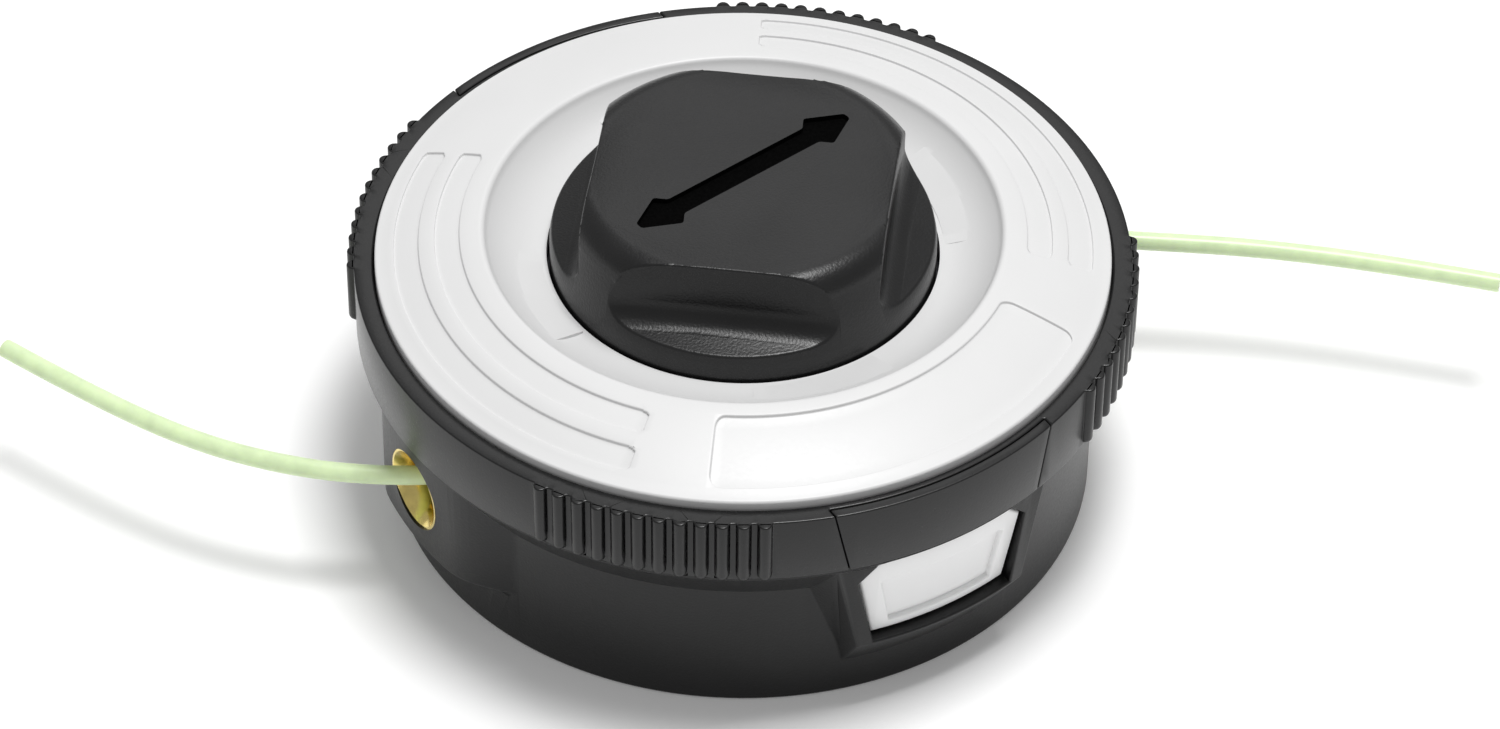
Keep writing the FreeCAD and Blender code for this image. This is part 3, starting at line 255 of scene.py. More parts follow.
class KnobSizes(bpy.types.PropertyGroup):
    """Bump knob with its finger scoops and arrow."""
    rise: size("Rise", "Top of the knob above the rim", 14.98)
    flange_radius: size("Flange radius", "Flange that runs in the disc", 26.85)
    flange_bottom: size("Flange bottom", "Seat of the flange on the spool", 33.4)
    flange_top: size("Flange top", "Upright part of the flange", 41.15)
    shoulder_radius: size("Shoulder radius", "Side of the knob where the shoulder starts", 25.4)
    shoulder_drop: size("Shoulder drop", "Height of the soft shoulder", 4.2)
    top_radius: size("Top radius", "Flat top", 20.9)
    wall: size("Wall", "Thickness of the moulding", 2.3)
    core_radius: size("Core radius", "Plug that enters the spool", 9.06)
    turn: angle("Turn", "Direction of the arrow", 7.65)
    scoops: count("Scoops", "Finger scoops", 4)
    scoop_turn: angle("Scoop turn", "First scoop from the arrow", 43.2)
    scoop_distance: size("Scoop distance", "Scoop wall from the axis", 20.8)
    scoop_draft: size("Scoop draft", "Slope of the scoop wall", 0.5)
    scoop_ledge: size("Scoop ledge", "Height of the ledge", 42.85)
    scoop_round: size("Scoop rounding", "Rounding between wall and ledge", 3.4)
    scoop_plan: size("Scoop hollow", "Radius of the scoop seen from above", 400.0)
    arrow_half: size("Arrow half length", "Middle of the arrow to a tip", 18.4)
    arrow_head: size("Arrow head", "Length of a head", 5.1)
    arrow_barb: size("Arrow barb", "How far the barbs reach back", 1.4)
    arrow_head_half: size("Arrow head half width", "Half width of a head", 3.3)
    arrow_shaft_half: size("Arrow shaft half width", "Half width of the shaft", 1.8)
    arrow_tip_half: size("Arrow tip half width", "Half width of the blunt tip", 0.6)
    arrow_depth: size("Arrow depth", "Depth of the arrow", 0.8)
    arrow_corner: size("Arrow corner", "Rounding of the arrow's corners", 0.35)
    edge: size("Edge", "Softness of the moulded edges", 0.35)


class LatchSizes(bpy.types.PropertyGroup):
    """Release latches and the panels that carry them."""
    half_width: size("Half width", "Half width of the window where it is widest", 13.3)
    bottom: size("Bottom", "Lower edge of the window", 12.2)
    top: size("Top", "Upper edge of the window", 26.9)
    corner: size("Corner", "Cut corners at the top", 3.2)
    taper: factor("Taper", "Narrowing of each side as a share of the drop", 0.2)
    gap: size("Gap", "Button to the window", 0.4)
    face_radius: size("Face radius", "Curve of the button's face at the parting line", 52.9)
    lean: factor("Lean", "Lean of the face as a share of the drop", 0.07)
    side_border: size("Side border", "Border beside the sunk panel", 3.0)
    bottom_border: size("Bottom border", "Border below the sunk panel", 1.6)
    top_border: size("Top border", "Border above the sunk panel", 4.0)
    panel_depth: size("Panel depth", "Depth of the sunk panel", 0.8)
    plate: size("Plate", "Thickness of the plate behind the wall", 2.1)
    plate_margin: size("Plate margin", "Plate past the window", 0.8)
    tongue_half: size("Tongue half width", "Half width of the tongue under the carrier", 6.0)
    bracket: size("Bracket", "Thickness of the spring bracket", 1.4)
    bracket_half: size("Bracket half width", "Half width of the spring bracket", 9.0)
    bracket_foot: size("Bracket foot", "Lower end of the spring bracket", 13.0)
    peg_radius: size("Peg radius", "Peg that holds the spring", 1.6)
    peg_length: size("Peg length", "Length of that peg", 1.2)
    pocket_radius: size("Pocket radius", "Pocket for the spring", 3.0)
    pocket_depth: size("Pocket depth", "Depth of that pocket", 4.4)
    edge: size("Edge", "Softness of the button's edges", 0.45)


class EyeletSizes(bpy.types.PropertyGroup):
    """Brass eyelets in the line exits."""
    lip_radius: size("Lip radius", "Outside of the flared lip", 6.0)
    barrel_radius: size("Barrel radius", "Outside of the barrel", 4.9)
    wall: size("Wall", "Thickness of the brass", 0.7)
    flare: size("Flare", "Length of the flared mouth", 3.0)


class SpringSizes(bpy.types.PropertyGroup):
    """Coil springs and the threaded insert."""
    bump_radius: size("Bump spring radius", "Middle of the bump spring's wire", 12.4)
    bump_wire: size("Bump spring wire", "Wire of the bump spring", 1.5)
    bump_turns: count("Bump spring turns", "Turns of the bump spring", 3)
    latch_radius: size("Latch spring radius", "Middle of a latch spring's wire", 2.4)
    latch_wire: size("Latch spring wire", "Wire of a latch spring", 0.6)
    latch_turns: count("Latch spring turns", "Turns of a latch spring", 5)
    seat_gap: size("Seat gap", "Spring to its seat", 0.05)
    insert_radius: size("Insert radius", "Shank of the threaded insert", 6.4)
    insert_flats: size("Insert flats", "Across the flats of its foot", 14.0)
    insert_foot: size("Insert foot", "Height of its foot", 4.0)
    insert_edge: size("Insert edge", "Softness of its edges", 0.05)
    groove_width: size("Groove width", "Grip groove round its shank", 2.0)
    groove_depth: size("Groove depth", "Depth of that groove", 0.5)
    thread_core: size("Thread core", "Core radius of the thread", 4.32)
    thread_root: size("Thread root", "Outer radius of the thread", 5.0)
    thread_pitch: size("Thread pitch", "Pitch of the left-hand thread", 1.25)


class LineSizes(bpy.types.PropertyGroup):
    """Cut line that leaves the eyelets."""
    diameter: size("Diameter", "Thickness of the line", 2.7)


class Finishes(bpy.types.PropertyGroup):
    """Colours of the finishes."""
    black: colour("Black nylon", "Housing, cover ring and carriers", 0.005, 0.005, 0.0052)
    knob: colour("Knob nylon", "Knob, coarser and a little lighter", 0.008, 0.008, 0.0083)
    arrow: colour("Arrow", "Floor of the arrow", 0.0015, 0.0015, 0.0015)
    white: colour("White nylon", "Cover disc", 0.70, 0.70, 0.70)
    # The latches' white is brighter than the disc's as painted light, standing in for light that their
    # upright faces miss
    latch: colour("Latch nylon", "Latches, a little brighter than the disc", 0.93, 0.93, 0.93)
    line: colour("Cut line", "Pale green nylon line", 0.72, 0.87, 0.54)
    brass: colour("Brass", "Eyelets", 0.90, 0.72, 0.25)
    spring: colour("Spring steel", "Springs", 0.50, 0.51, 0.53)
    insert: colour("Insert steel", "Threaded insert and washer", 0.60, 0.60, 0.61)
    spool: colour("Spool plastic", "Spool inside the housing", 0.09, 0.09, 0.10)
    floor: colour("Floor", "Pale studio floor", 0.96, 0.96, 0.96)


class StudioSizes(bpy.types.PropertyGroup):
    """Camera, light and floor."""
    azimuth: angle("Azimuth", "Camera round the object", -32.108)
    elevation: angle("Elevation", "Camera above the horizon", 42.788)
    roll: angle("Roll", "Tilt of the camera about its own axis", 0.683)
    distance: size("Distance", "Camera to its aim point", 814.3)
    aim: place("Aim", "Point in the middle of the picture", 0.957, -0.6, 16.726)
    lens: camera_length("Lens", "Focal length", 138.3)
    sensor: camera_length("Sensor", "Width of the sensor", 36.0)
    floor_size: size("Floor size", "Side of the floor", 6000.0)
    floor_glow: power("Floor glow", "Light of the lit table under the floor", 0.08)
    sky: power("Sky", "Strength of the even light", 0.42)
    top_place: place("Top light place", "Softbox over the head", 120.0, -20.0, 1000.0)
    top_side: size("Top light side", "Side of that softbox", 300.0)
    top_power: power("Top light power", "Power of that softbox", 7.6)
    back_place: place("Back light place", "Softbox behind the head", 450.0, 700.0, 850.0)
    back_side: size("Back light side", "Side of that softbox", 500.0)
    back_power: power("Back light power", "Power of that softbox", 0.8)


PROPERTY_GROUPS = {
    "trimmer_housing": HousingSizes,
    "trimmer_ring": RingSizes,
    "trimmer_disc": DiscSizes,
    "trimmer_teeth": IndexTeethSizes,
    "trimmer_knob": KnobSizes,
    "trimmer_latch": LatchSizes,
    "trimmer_eyelet": EyeletSizes,
    "trimmer_spring": SpringSizes,
    "trimmer_line": LineSizes,
    "trimmer_finish": Finishes,
    "trimmer_studio": StudioSizes,
}

# Route of each cut line at the eyelets' height, in millimetres, from inside the eyelet to the cut end
LEFT_ROUTE = (
    (-39.0, -4.0),
    (-46.3, -0.5),
    (-54.0, 3.6),
    (-64.0, 11.2),
    (-74.0, 23.2),
    (-82.3, 39.6),
    (-88.3, 54.7),
)
RIGHT_ROUTE = (
    (39.0, 4.0),
    (46.3, 0.5),
    (54.0, -3.6),
    (63.5, -10.3),
    (76.0, -19.6),
    (89.2, -31.4),
    (100.8, -43.3),
)

# Length of each cut line along its route, in metres
LEFT_LENGTH = 0.0795
RIGHT_LENGTH = 0.0783

# Directions of the disc's snap hooks, in degrees
HOOK_DIRECTIONS = (0, 45, 135, 180, 225, 315)

# Grip ribs of the cover ring
RIB_GROUPS = 4
FIRST_RIB_GROUP = math.radians(45)

# Fineness of round shapes
ROUND_STEPS = 192
SMALL_ROUND_STEPS = 64
ARC_STEPS = 8


# Points of profiles and outlines

def polar(radius, direction, z=0.0):
    """Point at a radius and direction about the spin axis."""
    return Vector((radius * math.cos(direction), radius * math.sin(direction), z))


def upright(profile, direction=0.0):
    """Places (radius, height) points in the upright plane of a direction."""
    return [polar(radius, direction, z) for radius, z in profile]


def arc_through(start, middle, end, steps=ARC_STEPS):
    """Points of the arc through three (radius, height) points, without its start."""
    (ax, ay), (bx, by), (cx, cy) = start, middle, end
    twice_area = 2 * (ax * (by - cy) + bx * (cy - ay) + cx * (ay - by))
    squares = [x * x + y * y for x, y in (start, middle, end)]
    ox = (squares[0] * (by - cy) + squares[1] * (cy - ay) + squares[2] * (ay - by)) / twice_area
    oy = (squares[0] * (cx - bx) + squares[1] * (ax - cx) + squares[2] * (bx - ax)) / twice_area
    radius = math.hypot(ax - ox, ay - oy)
    first = math.atan2(ay - oy, ax - ox)
    sweep = (math.atan2(cy - oy, cx - ox) - first) % FULL_TURN
    passed = (math.atan2(by - oy, bx - ox) - first) % FULL_TURN
    if passed > sweep:
        sweep -= FULL_TURN
    turns = [first + sweep * step / steps for step in range(1, steps + 1)]
    return [(ox + radius * math.cos(turn), oy + radius * math.sin(turn)) for turn in turns]


# Modelling by hand

def choose(*pieces):
    """Selects only these pieces and makes the first one active."""
    if bpy.context.object and bpy.context.object.mode != "OBJECT":
        bpy.ops.object.mode_set(mode="OBJECT")
    bpy.ops.object.select_all(action="DESELECT")
    for piece in pieces:
        piece.select_set(True)
    bpy.context.view_layer.objects.active = pieces[0]


def drawn(name, points):
    """Starts a mesh from one point, extrudes it through the others and stays in edit mode."""
    bpy.ops.object.select_all(action="DESELECT")
    bpy.ops.mesh.primitive_plane_add(size=MM)
    piece = bpy.context.object
    piece.name = name
    bpy.ops.object.mode_set(mode="EDIT")
    bpy.ops.mesh.select_mode(type="VERT")
    bpy.ops.mesh.select_all(action="SELECT")
    bpy.ops.mesh.merge(type="CENTER")
    bpy.ops.transform.translate(value=points[0])
    for before, after in zip(points, points[1:]):
        bpy.ops.mesh.extrude_vertices_move(TRANSFORM_OT_translate={"value": after - before})
    bpy.ops.mesh.select_all(action="SELECT")
    return piece


def edit(piece):
    """Goes into edit mode on one piece, with all of it selected."""
    choose(piece)
    bpy.ops.object.mode_set(mode="EDIT")
    bpy.ops.mesh.select_all(action="SELECT")


def closed_up(piece):
    """Merges doubles, turns the faces outwards and leaves edit mode."""
    bpy.ops.mesh.select_all(action="SELECT")
    bpy.ops.mesh.remove_doubles(threshold=WELD)
    bpy.ops.mesh.delete_loose(use_verts=True, use_edges=True, use_faces=False)
    bpy.ops.mesh.select_all(action="SELECT")
    bpy.ops.mesh.normals_make_consistent(inside=False)
    bpy.ops.object.mode_set(mode="OBJECT")
    return piece


def turned(name, points, steps=ROUND_STEPS, centre=(0, 0, 0), axis=UP):
    """Body of revolution from a closed outline of points."""
    piece = drawn(name, [*points, points[0]])
    bpy.ops.mesh.spin(steps=steps, angle=FULL_TURN, center=centre, axis=axis)
    return closed_up(piece)


def swept(name, points, sweep, steps, centre=(0, 0, 0)):
    """Solid swept from a filled outline through part of a turn about an upright axis."""
    piece = drawn(name, points)
    bpy.ops.mesh.edge_face_add()
    bpy.ops.mesh.spin(steps=steps, angle=-sweep, center=centre, axis=UP)
    return closed_up(piece)


def prism(name, corners, along):
    """Prism from a filled outline, pulled along a direction."""
    piece = drawn(name, corners)
    bpy.ops.mesh.edge_face_add()
    bpy.ops.mesh.extrude_region_move(TRANSFORM_OT_translate={"value": along})
    return closed_up(piece)


def lofted(name, *outlines):
    """Solid through outlines with the same number of points, from the lowest to the highest."""
    rings = []
    for outline in outlines:
        rings.append(drawn(name, [*outline, outline[0]]))
        bpy.ops.mesh.remove_doubles(threshold=WELD)
        bpy.ops.object.mode_set(mode="OBJECT")
    piece = joined(rings)
    edit(piece)
    bpy.ops.mesh.bridge_edge_loops()
    bpy.ops.mesh.select_all(action="SELECT")
    bpy.ops.mesh.quads_convert_to_tris()
    bpy.ops.mesh.fill_holes(sides=0)
    return closed_up(piece)


def wound(piece, sweep, rise, turns, steps):
    """Winds an outline up the spin axis, closes its ends and leaves edit mode."""
    modified(
        piece, "SCREW", axis="Z", angle=sweep, screw_offset=rise, iterations=turns, steps=steps,
        render_steps=steps, use_merge_vertices=True, merge_threshold=WELD)
    choose(piece)
    bpy.ops.object.mode_set(mode="EDIT")
    bpy.ops.mesh.select_mode(type="VERT")
    bpy.ops.mesh.select_all(action="SELECT")
    bpy.ops.mesh.remove_doubles(threshold=WELD)
    bpy.ops.mesh.fill_holes(sides=0)
    bpy.ops.mesh.select_all(action="SELECT")
    bpy.ops.mesh.quads_convert_to_tris()
    return closed_up(piece)


def block(name, low, high):
    """Upright box between two corners."""
    corners = [Vector((x, y, low[2])) for x, y in (
        (low[0], low[1]), (high[0], low[1]), (high[0], high[1]), (low[0], high[1]))]
    return prism(name, corners, UP * (high[2] - low[2]))


def turn_to(piece, direction):
    """Turns a piece about the spin axis and puts the turn into its mesh."""
    choose(piece)
    piece.rotation_euler.z = direction
    bpy.ops.object.transform_apply(location=False, rotation=True, scale=False)
    return piece


def copied(piece, direction):
    """Copy with its own mesh, turned about the spin axis."""
    choose(piece)
    bpy.ops.object.duplicate(linked=False)
    return turn_to(bpy.context.object, direction)


def spread(piece, number, start=0.0):
    """The piece and its copies, spread evenly about the spin axis."""
    copies = [copied(piece, start + FULL_TURN * index / number) for index in range(1, number)]
    return [turn_to(piece, start), *copies]


def pair(piece):
    """The piece and its copy on the opposite side."""
    return spread(piece, 2)


def joined(pieces):
    """Several separate solids as one mesh."""
    choose(*pieces)
    bpy.ops.object.join()
    return pieces[0]


def modified(piece, kind, **settings):
    """Adds a modifier with its settings and applies it."""
    choose(piece)
    bpy.ops.object.modifier_add(type=kind)
    modifier = piece.modifiers[-1]
    for key, value in settings.items():
        setattr(modifier, key, value)
    bpy.ops.object.modifier_apply(modifier=modifier.name)
    return piece


def combined(piece, operation, tools):
    """Cuts, joins or trims a piece with each tool, and removes the tools."""
    for tool in tools:
        modified(piece, "BOOLEAN", operation=operation, solver="EXACT", object=tool)
        bpy.data.objects.remove(tool)
    return piece


def pick_edges(piece, sharp, test):
    """In edit mode, selects only the edges sharper than a limit whose two ends pass a test."""
    bpy.ops.mesh.select_mode(type="EDGE")
    bpy.ops.mesh.select_all(action="DESELECT")
    mesh = bmesh.from_edit_mesh(piece.data)
    for edge in mesh.edges:
        start, end = edge.verts
        edge.select_set(edge.calc_face_angle(0.0) > sharp and test(start.co, end.co))
    bmesh.update_edit_mesh(piece.data)


def pick_faces(piece, test):
    """In edit mode, selects only the faces whose centre and normal pass a test."""
    bpy.ops.mesh.select_mode(type="FACE")
    bpy.ops.mesh.select_all(action="DESELECT")
    mesh = bmesh.from_edit_mesh(piece.data)
    mesh.normal_update()
    for face in mesh.faces:
        face.select_set(test(face.calc_center_median(), face.normal))
    bmesh.update_edit_mesh(piece.data)


def rounded_uprights(piece, radius, segments=6):
    """Rounds the upright corners of a tool."""
    choose(piece)
    bpy.ops.object.mode_set(mode="EDIT")
    level = 0.05 * MM
    pick_edges(piece, PLAIN_EDGE, lambda a, b: (a - b).xy.length < level < abs(a.z - b.z))
    bpy.ops.mesh.bevel(offset=radius, segments=segments, affect="EDGES")
    return closed_up(piece)


def merged(piece, threshold=0.02 * MM):
    """Merges slivers left by cuts."""
    edit(piece)
    bpy.ops.mesh.remove_doubles(threshold=threshold)
    bpy.ops.mesh.dissolve_degenerate(threshold=threshold)
    bpy.ops.object.mode_set(mode="OBJECT")
    return piece


def cleaned(piece, flat=math.radians(0.4)):
    """Merges slivers left by cuts and dissolves edges between faces in one plane."""
    edit(merged(piece))
    bpy.ops.mesh.dissolve_limited(angle_limit=flat)
    bpy.ops.mesh.delete_loose(use_verts=True, use_edges=True, use_faces=False)
    bpy.ops.object.mode_set(mode="OBJECT")
    return piece


def softened(piece, width, limit, keep=None, segments=3):
    """Rounds the edges sharper than a limit that pass a test, less where they are less sharp."""
    choose(piece)
    bpy.ops.object.mode_set(mode="EDIT")
    mesh = bmesh.from_edit_mesh(piece.data)
    layers = mesh.edges.layers.float
    weight = layers.get("bevel_weight_edge") or layers.new("bevel_weight_edge")
    full = limit + EDGE_RANGE
    for edge in mesh.edges:
        share = (edge.calc_face_angle(0.0) - limit) / (full - limit)
        kept = keep is None or keep(edge.verts[0].co, edge.verts[1].co)
        edge[weight] = min(1.0, max(0.0, share)) if kept else 0.0
    bmesh.update_edit_mesh(piece.data)
    bpy.ops.object.mode_set(mode="OBJECT")
    return modified(
        piece, "BEVEL", width=width, segments=segments, limit_method="WEIGHT", loop_slide=False,
        use_clamp_overlap=False, miter_outer="MITER_ARC")


def smoothed(piece, limit=math.radians(32)):
    """Shades the faces smooth, apart from edges sharper than a limit."""
    choose(piece)
    bpy.ops.object.shade_smooth_by_angle(angle=limit)
    return piece


def finished(piece, body, slot, material, *nodes):
    """Puts a piece on its body in place of its solids and gives it its finish."""
    piece.data.materials.clear()
    piece.data.materials.append(material)
    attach(piece, body)
    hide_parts(*nodes)
    return piece


# Finishes

def finish_nodes(name):
    """New material with its node tree, shader and object coordinates."""
    material = bpy.data.materials.new(name)
    material.use_nodes = True
    tree = material.node_tree
    shader = tree.nodes["Principled BSDF"]
    place = tree.nodes.new("ShaderNodeTexCoord")
    return material, tree, shader, place.outputs["Object"]


def noise(tree, place, scale, detail):
    """Noise over the object's own coordinates, with scale in waves a metre."""
    node = tree.nodes.new("ShaderNodeTexNoise")
    node.inputs["Scale"].default_value = scale
    node.inputs["Detail"].default_value = detail
    tree.links.new(place, node.inputs["Vector"])
    return node.outputs["Fac"]


def shades(tree, value, dark, light):
    """Runs a value through a ramp between two colours."""
    ramp = tree.nodes.new("ShaderNodeValToRGB")
    ramp.color_ramp.elements[0].position = 0.3
    ramp.color_ramp.elements[1].position = 0.7
    ramp.color_ramp.elements[0].color = (*dark, 1.0)
    ramp.color_ramp.elements[1].color = (*light, 1.0)
    tree.links.new(value, ramp.inputs["Fac"])
    return ramp.outputs["Color"]


def between(tree, value, low, high):
    """Spreads a value over a range."""
    node = tree.nodes.new("ShaderNodeMapRange")
    node.inputs["To Min"].default_value = low
    node.inputs["To Max"].default_value = high
    tree.links.new(value, node.inputs["Value"])
    return node.outputs["Result"]


def tinted(tree, shader, value, dark, light):
    """Colour that a value moves between two shades."""
    tree.links.new(shades(tree, value, dark, light), shader.inputs["Base Color"])


def roughened(tree, shader, value, low, high):
    """Roughness that a value moves over a range."""
    tree.links.new(between(tree, value, low, high), shader.inputs["Roughness"])


def grain(tree, shader, height, strength, depth):
    """Bump from a height."""
    node = tree.nodes.new("ShaderNodeBump")
    node.inputs["Strength"].default_value = strength
    node.inputs["Distance"].default_value = depth
    tree.links.new(height, node.inputs["Height"])
    tree.links.new(node.outputs["Normal"], shader.inputs["Normal"])


def scaled(base, amount):
    """Colour made lighter or darker."""
    return tuple(min(1.0, part * amount) for part in base)


def moulded_black(name, base, rough, gloss, bump):
    """Matte black nylon with a spark-eroded grain and slight flow marks."""
    material, tree, shader, place = finish_nodes(name)
    flow = noise(tree, place, scale=90.0, detail=2.0)
    speck = noise(tree, place, scale=2600.0, detail=2.0)
    tinted(tree, shader, flow, dark=scaled(base, 0.85), light=scaled(base, 1.2))
    roughened(tree, shader, speck, low=0.8 * rough, high=1.2 * rough)
    grain(tree, shader, speck, strength=bump, depth=0.06 * MM)
    shader.inputs["Specular IOR Level"].default_value = gloss
    return material


def moulded_white(name, base):
    """Satin white nylon, very faintly mottled."""
    material, tree, shader, place = finish_nodes(name)
    cloud = noise(tree, place, scale=60.0, detail=2.0)
    speck = noise(tree, place, scale=1800.0, detail=2.0)
    tinted(tree, shader, cloud, dark=scaled(base, 0.975), light=base)
    roughened(tree, shader, speck, low=0.36, high=0.46)
    grain(tree, shader, speck, strength=0.06, depth=0.03 * MM)
    return material


def arrow_black(base):
    """Dead black floor of the arrow."""
    material, tree, shader, place = finish_nodes("arrow_black")
    speck = noise(tree, place, scale=2600.0, detail=2.0)
    tinted(tree, shader, speck, dark=scaled(base, 0.6), light=scaled(base, 1.4))
    shader.inputs["Roughness"].default_value = 0.9
    shader.inputs["Specular IOR Level"].default_value = 0.02
    return material


def nylon_line(base):
    """Pale translucent nylon line with faint drawing streaks."""
    material, tree, shader, place = finish_nodes("cut_line_nylon")
    streak = noise(tree, place, scale=420.0, detail=3.0)
    tinted(tree, shader, streak, dark=scaled(base, 0.93), light=scaled(base, 1.05))
    roughened(tree, shader, streak, low=0.28, high=0.4)
    shader.inputs["Subsurface Weight"].default_value = 0.35
    shader.inputs["Subsurface Radius"].default_value = (1.0, 1.0, 0.6)
    shader.inputs["Subsurface Scale"].default_value = 1.2 * MM
    return material


def metal(name, base, scale, rough):
    """Metal with fine marks that change its tone and gloss."""
    material, tree, shader, place = finish_nodes(name)
    marks = noise(tree, place, scale, detail=4.0)
    tinted(tree, shader, marks, dark=scaled(base, 0.8), light=base)
    roughened(tree, shader, marks, low=0.7 * rough, high=1.3 * rough)
    grain(tree, shader, marks, strength=0.08, depth=0.03 * MM)
    shader.inputs["Metallic"].default_value = 1.0
    return material


def wound_line(base):
    """Line wound in the spool, with its turns as bands up the winding."""
    material, tree, shader, place = finish_nodes("wound_line_nylon")
    bands = tree.nodes.new("ShaderNodeTexWave")
    bands.bands_direction = "Z"
    bands.inputs["Scale"].default_value = 60.0
    bands.inputs["Distortion"].default_value = 0.6
    tree.links.new(place, bands.inputs["Vector"])
    tinted(tree, shader, bands.outputs["Fac"], dark=scaled(base, 0.7), light=base)
    shader.inputs["Roughness"].default_value = 0.35
    return material


def studio_floor(base, glow):
    """Plain pale floor of a lit table."""
    material, tree, shader, place = finish_nodes("studio_floor")
    cloud = noise(tree, place, scale=3.0, detail=1.0)
    tinted(tree, shader, cloud, dark=scaled(base, 0.995), light=base)
    shader.inputs["Roughness"].default_value = 0.9
    shader.inputs["Specular IOR Level"].default_value = 0.1
    shader.inputs["Emission Color"].default_value = (1.0, 1.0, 1.0, 1.0)
    shader.inputs["Emission Strength"].default_value = glow
    return material


def cover_finish(scene):
    """Smoother black of the cover ring and the latch carriers in it, made once."""
    name = "cover_nylon_grain"
    made = bpy.data.materials.get(name)
    return made or moulded_black(name, scene.trimmer_finish.black, rough=0.3, gloss=0.42, bump=0.25)


# Housing

def sloped_under(boss, bottom, chamfer, sizes):
    """Boss on the wall with its underside sloped back to the wall."""
    beyond = sizes.boss_radius + sizes.wall
    rise = chamfer * (beyond - sizes.wall_radius) / (sizes.boss_radius - sizes.wall_radius)
    inner = sizes.wall_radius - sizes.wall
    under = turned("boss_underside", upright([
        (inner, bottom - sizes.wall),
        (beyond, bottom - sizes.wall),
        (beyond, bottom + rise),
        (sizes.wall_radius, bottom),
        (inner, bottom),
    ]))
    return combined(boss, "DIFFERENCE", [under])


def inner_arc(sizes, middle, reach, z, steps=12):
    """Back of a boss inside the wall, from one end to the other."""
    radius = sizes.spigot_radius - sizes.spigot_wall + sizes.boss_root / 4
    return [polar(radius, middle + reach - 2 * reach * step / steps, z) for step in range(steps + 1)]


def boss_top(sizes):
    """Upper end of a boss, inside the shoulder."""
    return PARTING_Z - sizes.shoulder_land / 2


def eyelet_boss_plan(sizes, drop, z):
    """Plan of the swelling at +X, at a share of the drop from its full height to its lower end."""
    reach = sizes.eyelet_boss_flat + sizes.eyelet_boss_ramp
    root = sizes.wall_radius - sizes.boss_root
    steps = 40
    plan = []
    for step in range(steps + 1):
        direction = reach * (2 * step / steps - 1)
        side = max(0.0, (abs(direction) - sizes.eyelet_boss_flat) / sizes.eyelet_boss_ramp)
        fade = min(1.0, math.hypot(side, drop))
        height = (1 + math.cos(HALF_TURN * fade)) / 2
        plan.append(polar(root + (sizes.boss_radius - root) * height, direction, z))
    return plan + inner_arc(sizes, middle=0.0, reach=reach, z=z)


def eyelet_boss(sizes):
    """Soft swelling of the wall round a line exit at +X, faded at its bottom and its sides."""
    bottom = sizes.eyelet_boss_bottom
    steps = 8
    plans = []
    for step in range(steps + 1):
        rise = step / steps
        plans.append(eyelet_boss_plan(sizes, 1 - rise, bottom + sizes.eyelet_boss_chamfer * rise))
    return lofted("eyelet_boss", *plans, eyelet_boss_plan(sizes, drop=0.0, z=boss_top(sizes)))


def latch_boss_plan(sizes, half, reach, z):
    """Plan of the latch boss at -Y: its face, a slope at each side and its root in the wall."""
    middle = -QUARTER_TURN
    root = sizes.wall_radius - sizes.boss_root
    steps = 18
    shares = [2 * step / steps - 1 for step in range(steps + 1)]
    face = [polar(sizes.boss_radius, middle + half * share, z) for share in shares]
    plan = [polar(root, middle - reach, z), *face, polar(root, middle + reach, z)]
    return plan + inner_arc(sizes, middle, reach, z)


def latch_boss(sizes):
    """Boss with sloped sides round the latch window at -Y, narrower towards its bottom."""
    bottom = sizes.latch_boss_bottom
    lower = latch_boss_plan(sizes, sizes.latch_boss_low_half, sizes.latch_boss_low_reach, bottom)
    upper = latch_boss_plan(sizes, sizes.latch_boss_half, sizes.latch_boss_reach, boss_top(sizes))
    return sloped_under(lofted("latch_boss", lower, upper), bottom, sizes.latch_boss_chamfer, sizes)


def latch_outline(latch, side, bottom, top, y):
    """Outline of a latch in the plane of a Y, inset at its sides, bottom and top."""
    low = latch.bottom + bottom
    high = latch.top - top
    corner = max(latch.corner - side, latch.gap)
    widest_z = latch.top - latch.corner
    low_half = latch.half_width - side - latch.taper * (widest_z - low)
    half = latch.half_width - side - latch.taper * (widest_z - high + corner)
    right = [(low_half, low), (half, high - corner), (half - corner, high)]
    left = [(-x, z) for x, z in reversed(right)]
    return [Vector((x, y, z)) for x, z in right + left]


def eyelet_hole(eyelet):
    """Tool for the line exit at +X."""
    start = EYELET_START_X / 2
    barrel = eyelet.barrel_radius
    bend = eyelet_bend(barrel, eyelet.lip_radius, eyelet.flare)
    profile = [(0.0, start), (barrel, start), (barrel, EYELET_FACE_X - eyelet.flare)]
    profile += arc_through(profile[-1], bend, (eyelet.lip_radius, EYELET_FACE_X))
    profile += [(eyelet.lip_radius, FAR), (0.0, FAR)]
    return turned_x("eyelet_hole", profile)


def eyelet_bend(barrel, lip, flare):
    """Middle of the flared mouth's curve as a (radius, x) point."""
    outward = 0.3
    inward = 0.45
    return barrel + outward * (lip - barrel), EYELET_FACE_X - inward * flare


def turned_x(name, profile):
    """Body of revolution of (radius, x) points about the line's exit axis."""
    points = [Vector((x, 0, LINE_Z + radius)) for radius, x in profile]
    return turned(name, points, SMALL_ROUND_STEPS, (0, 0, LINE_Z), (1, 0, 0))


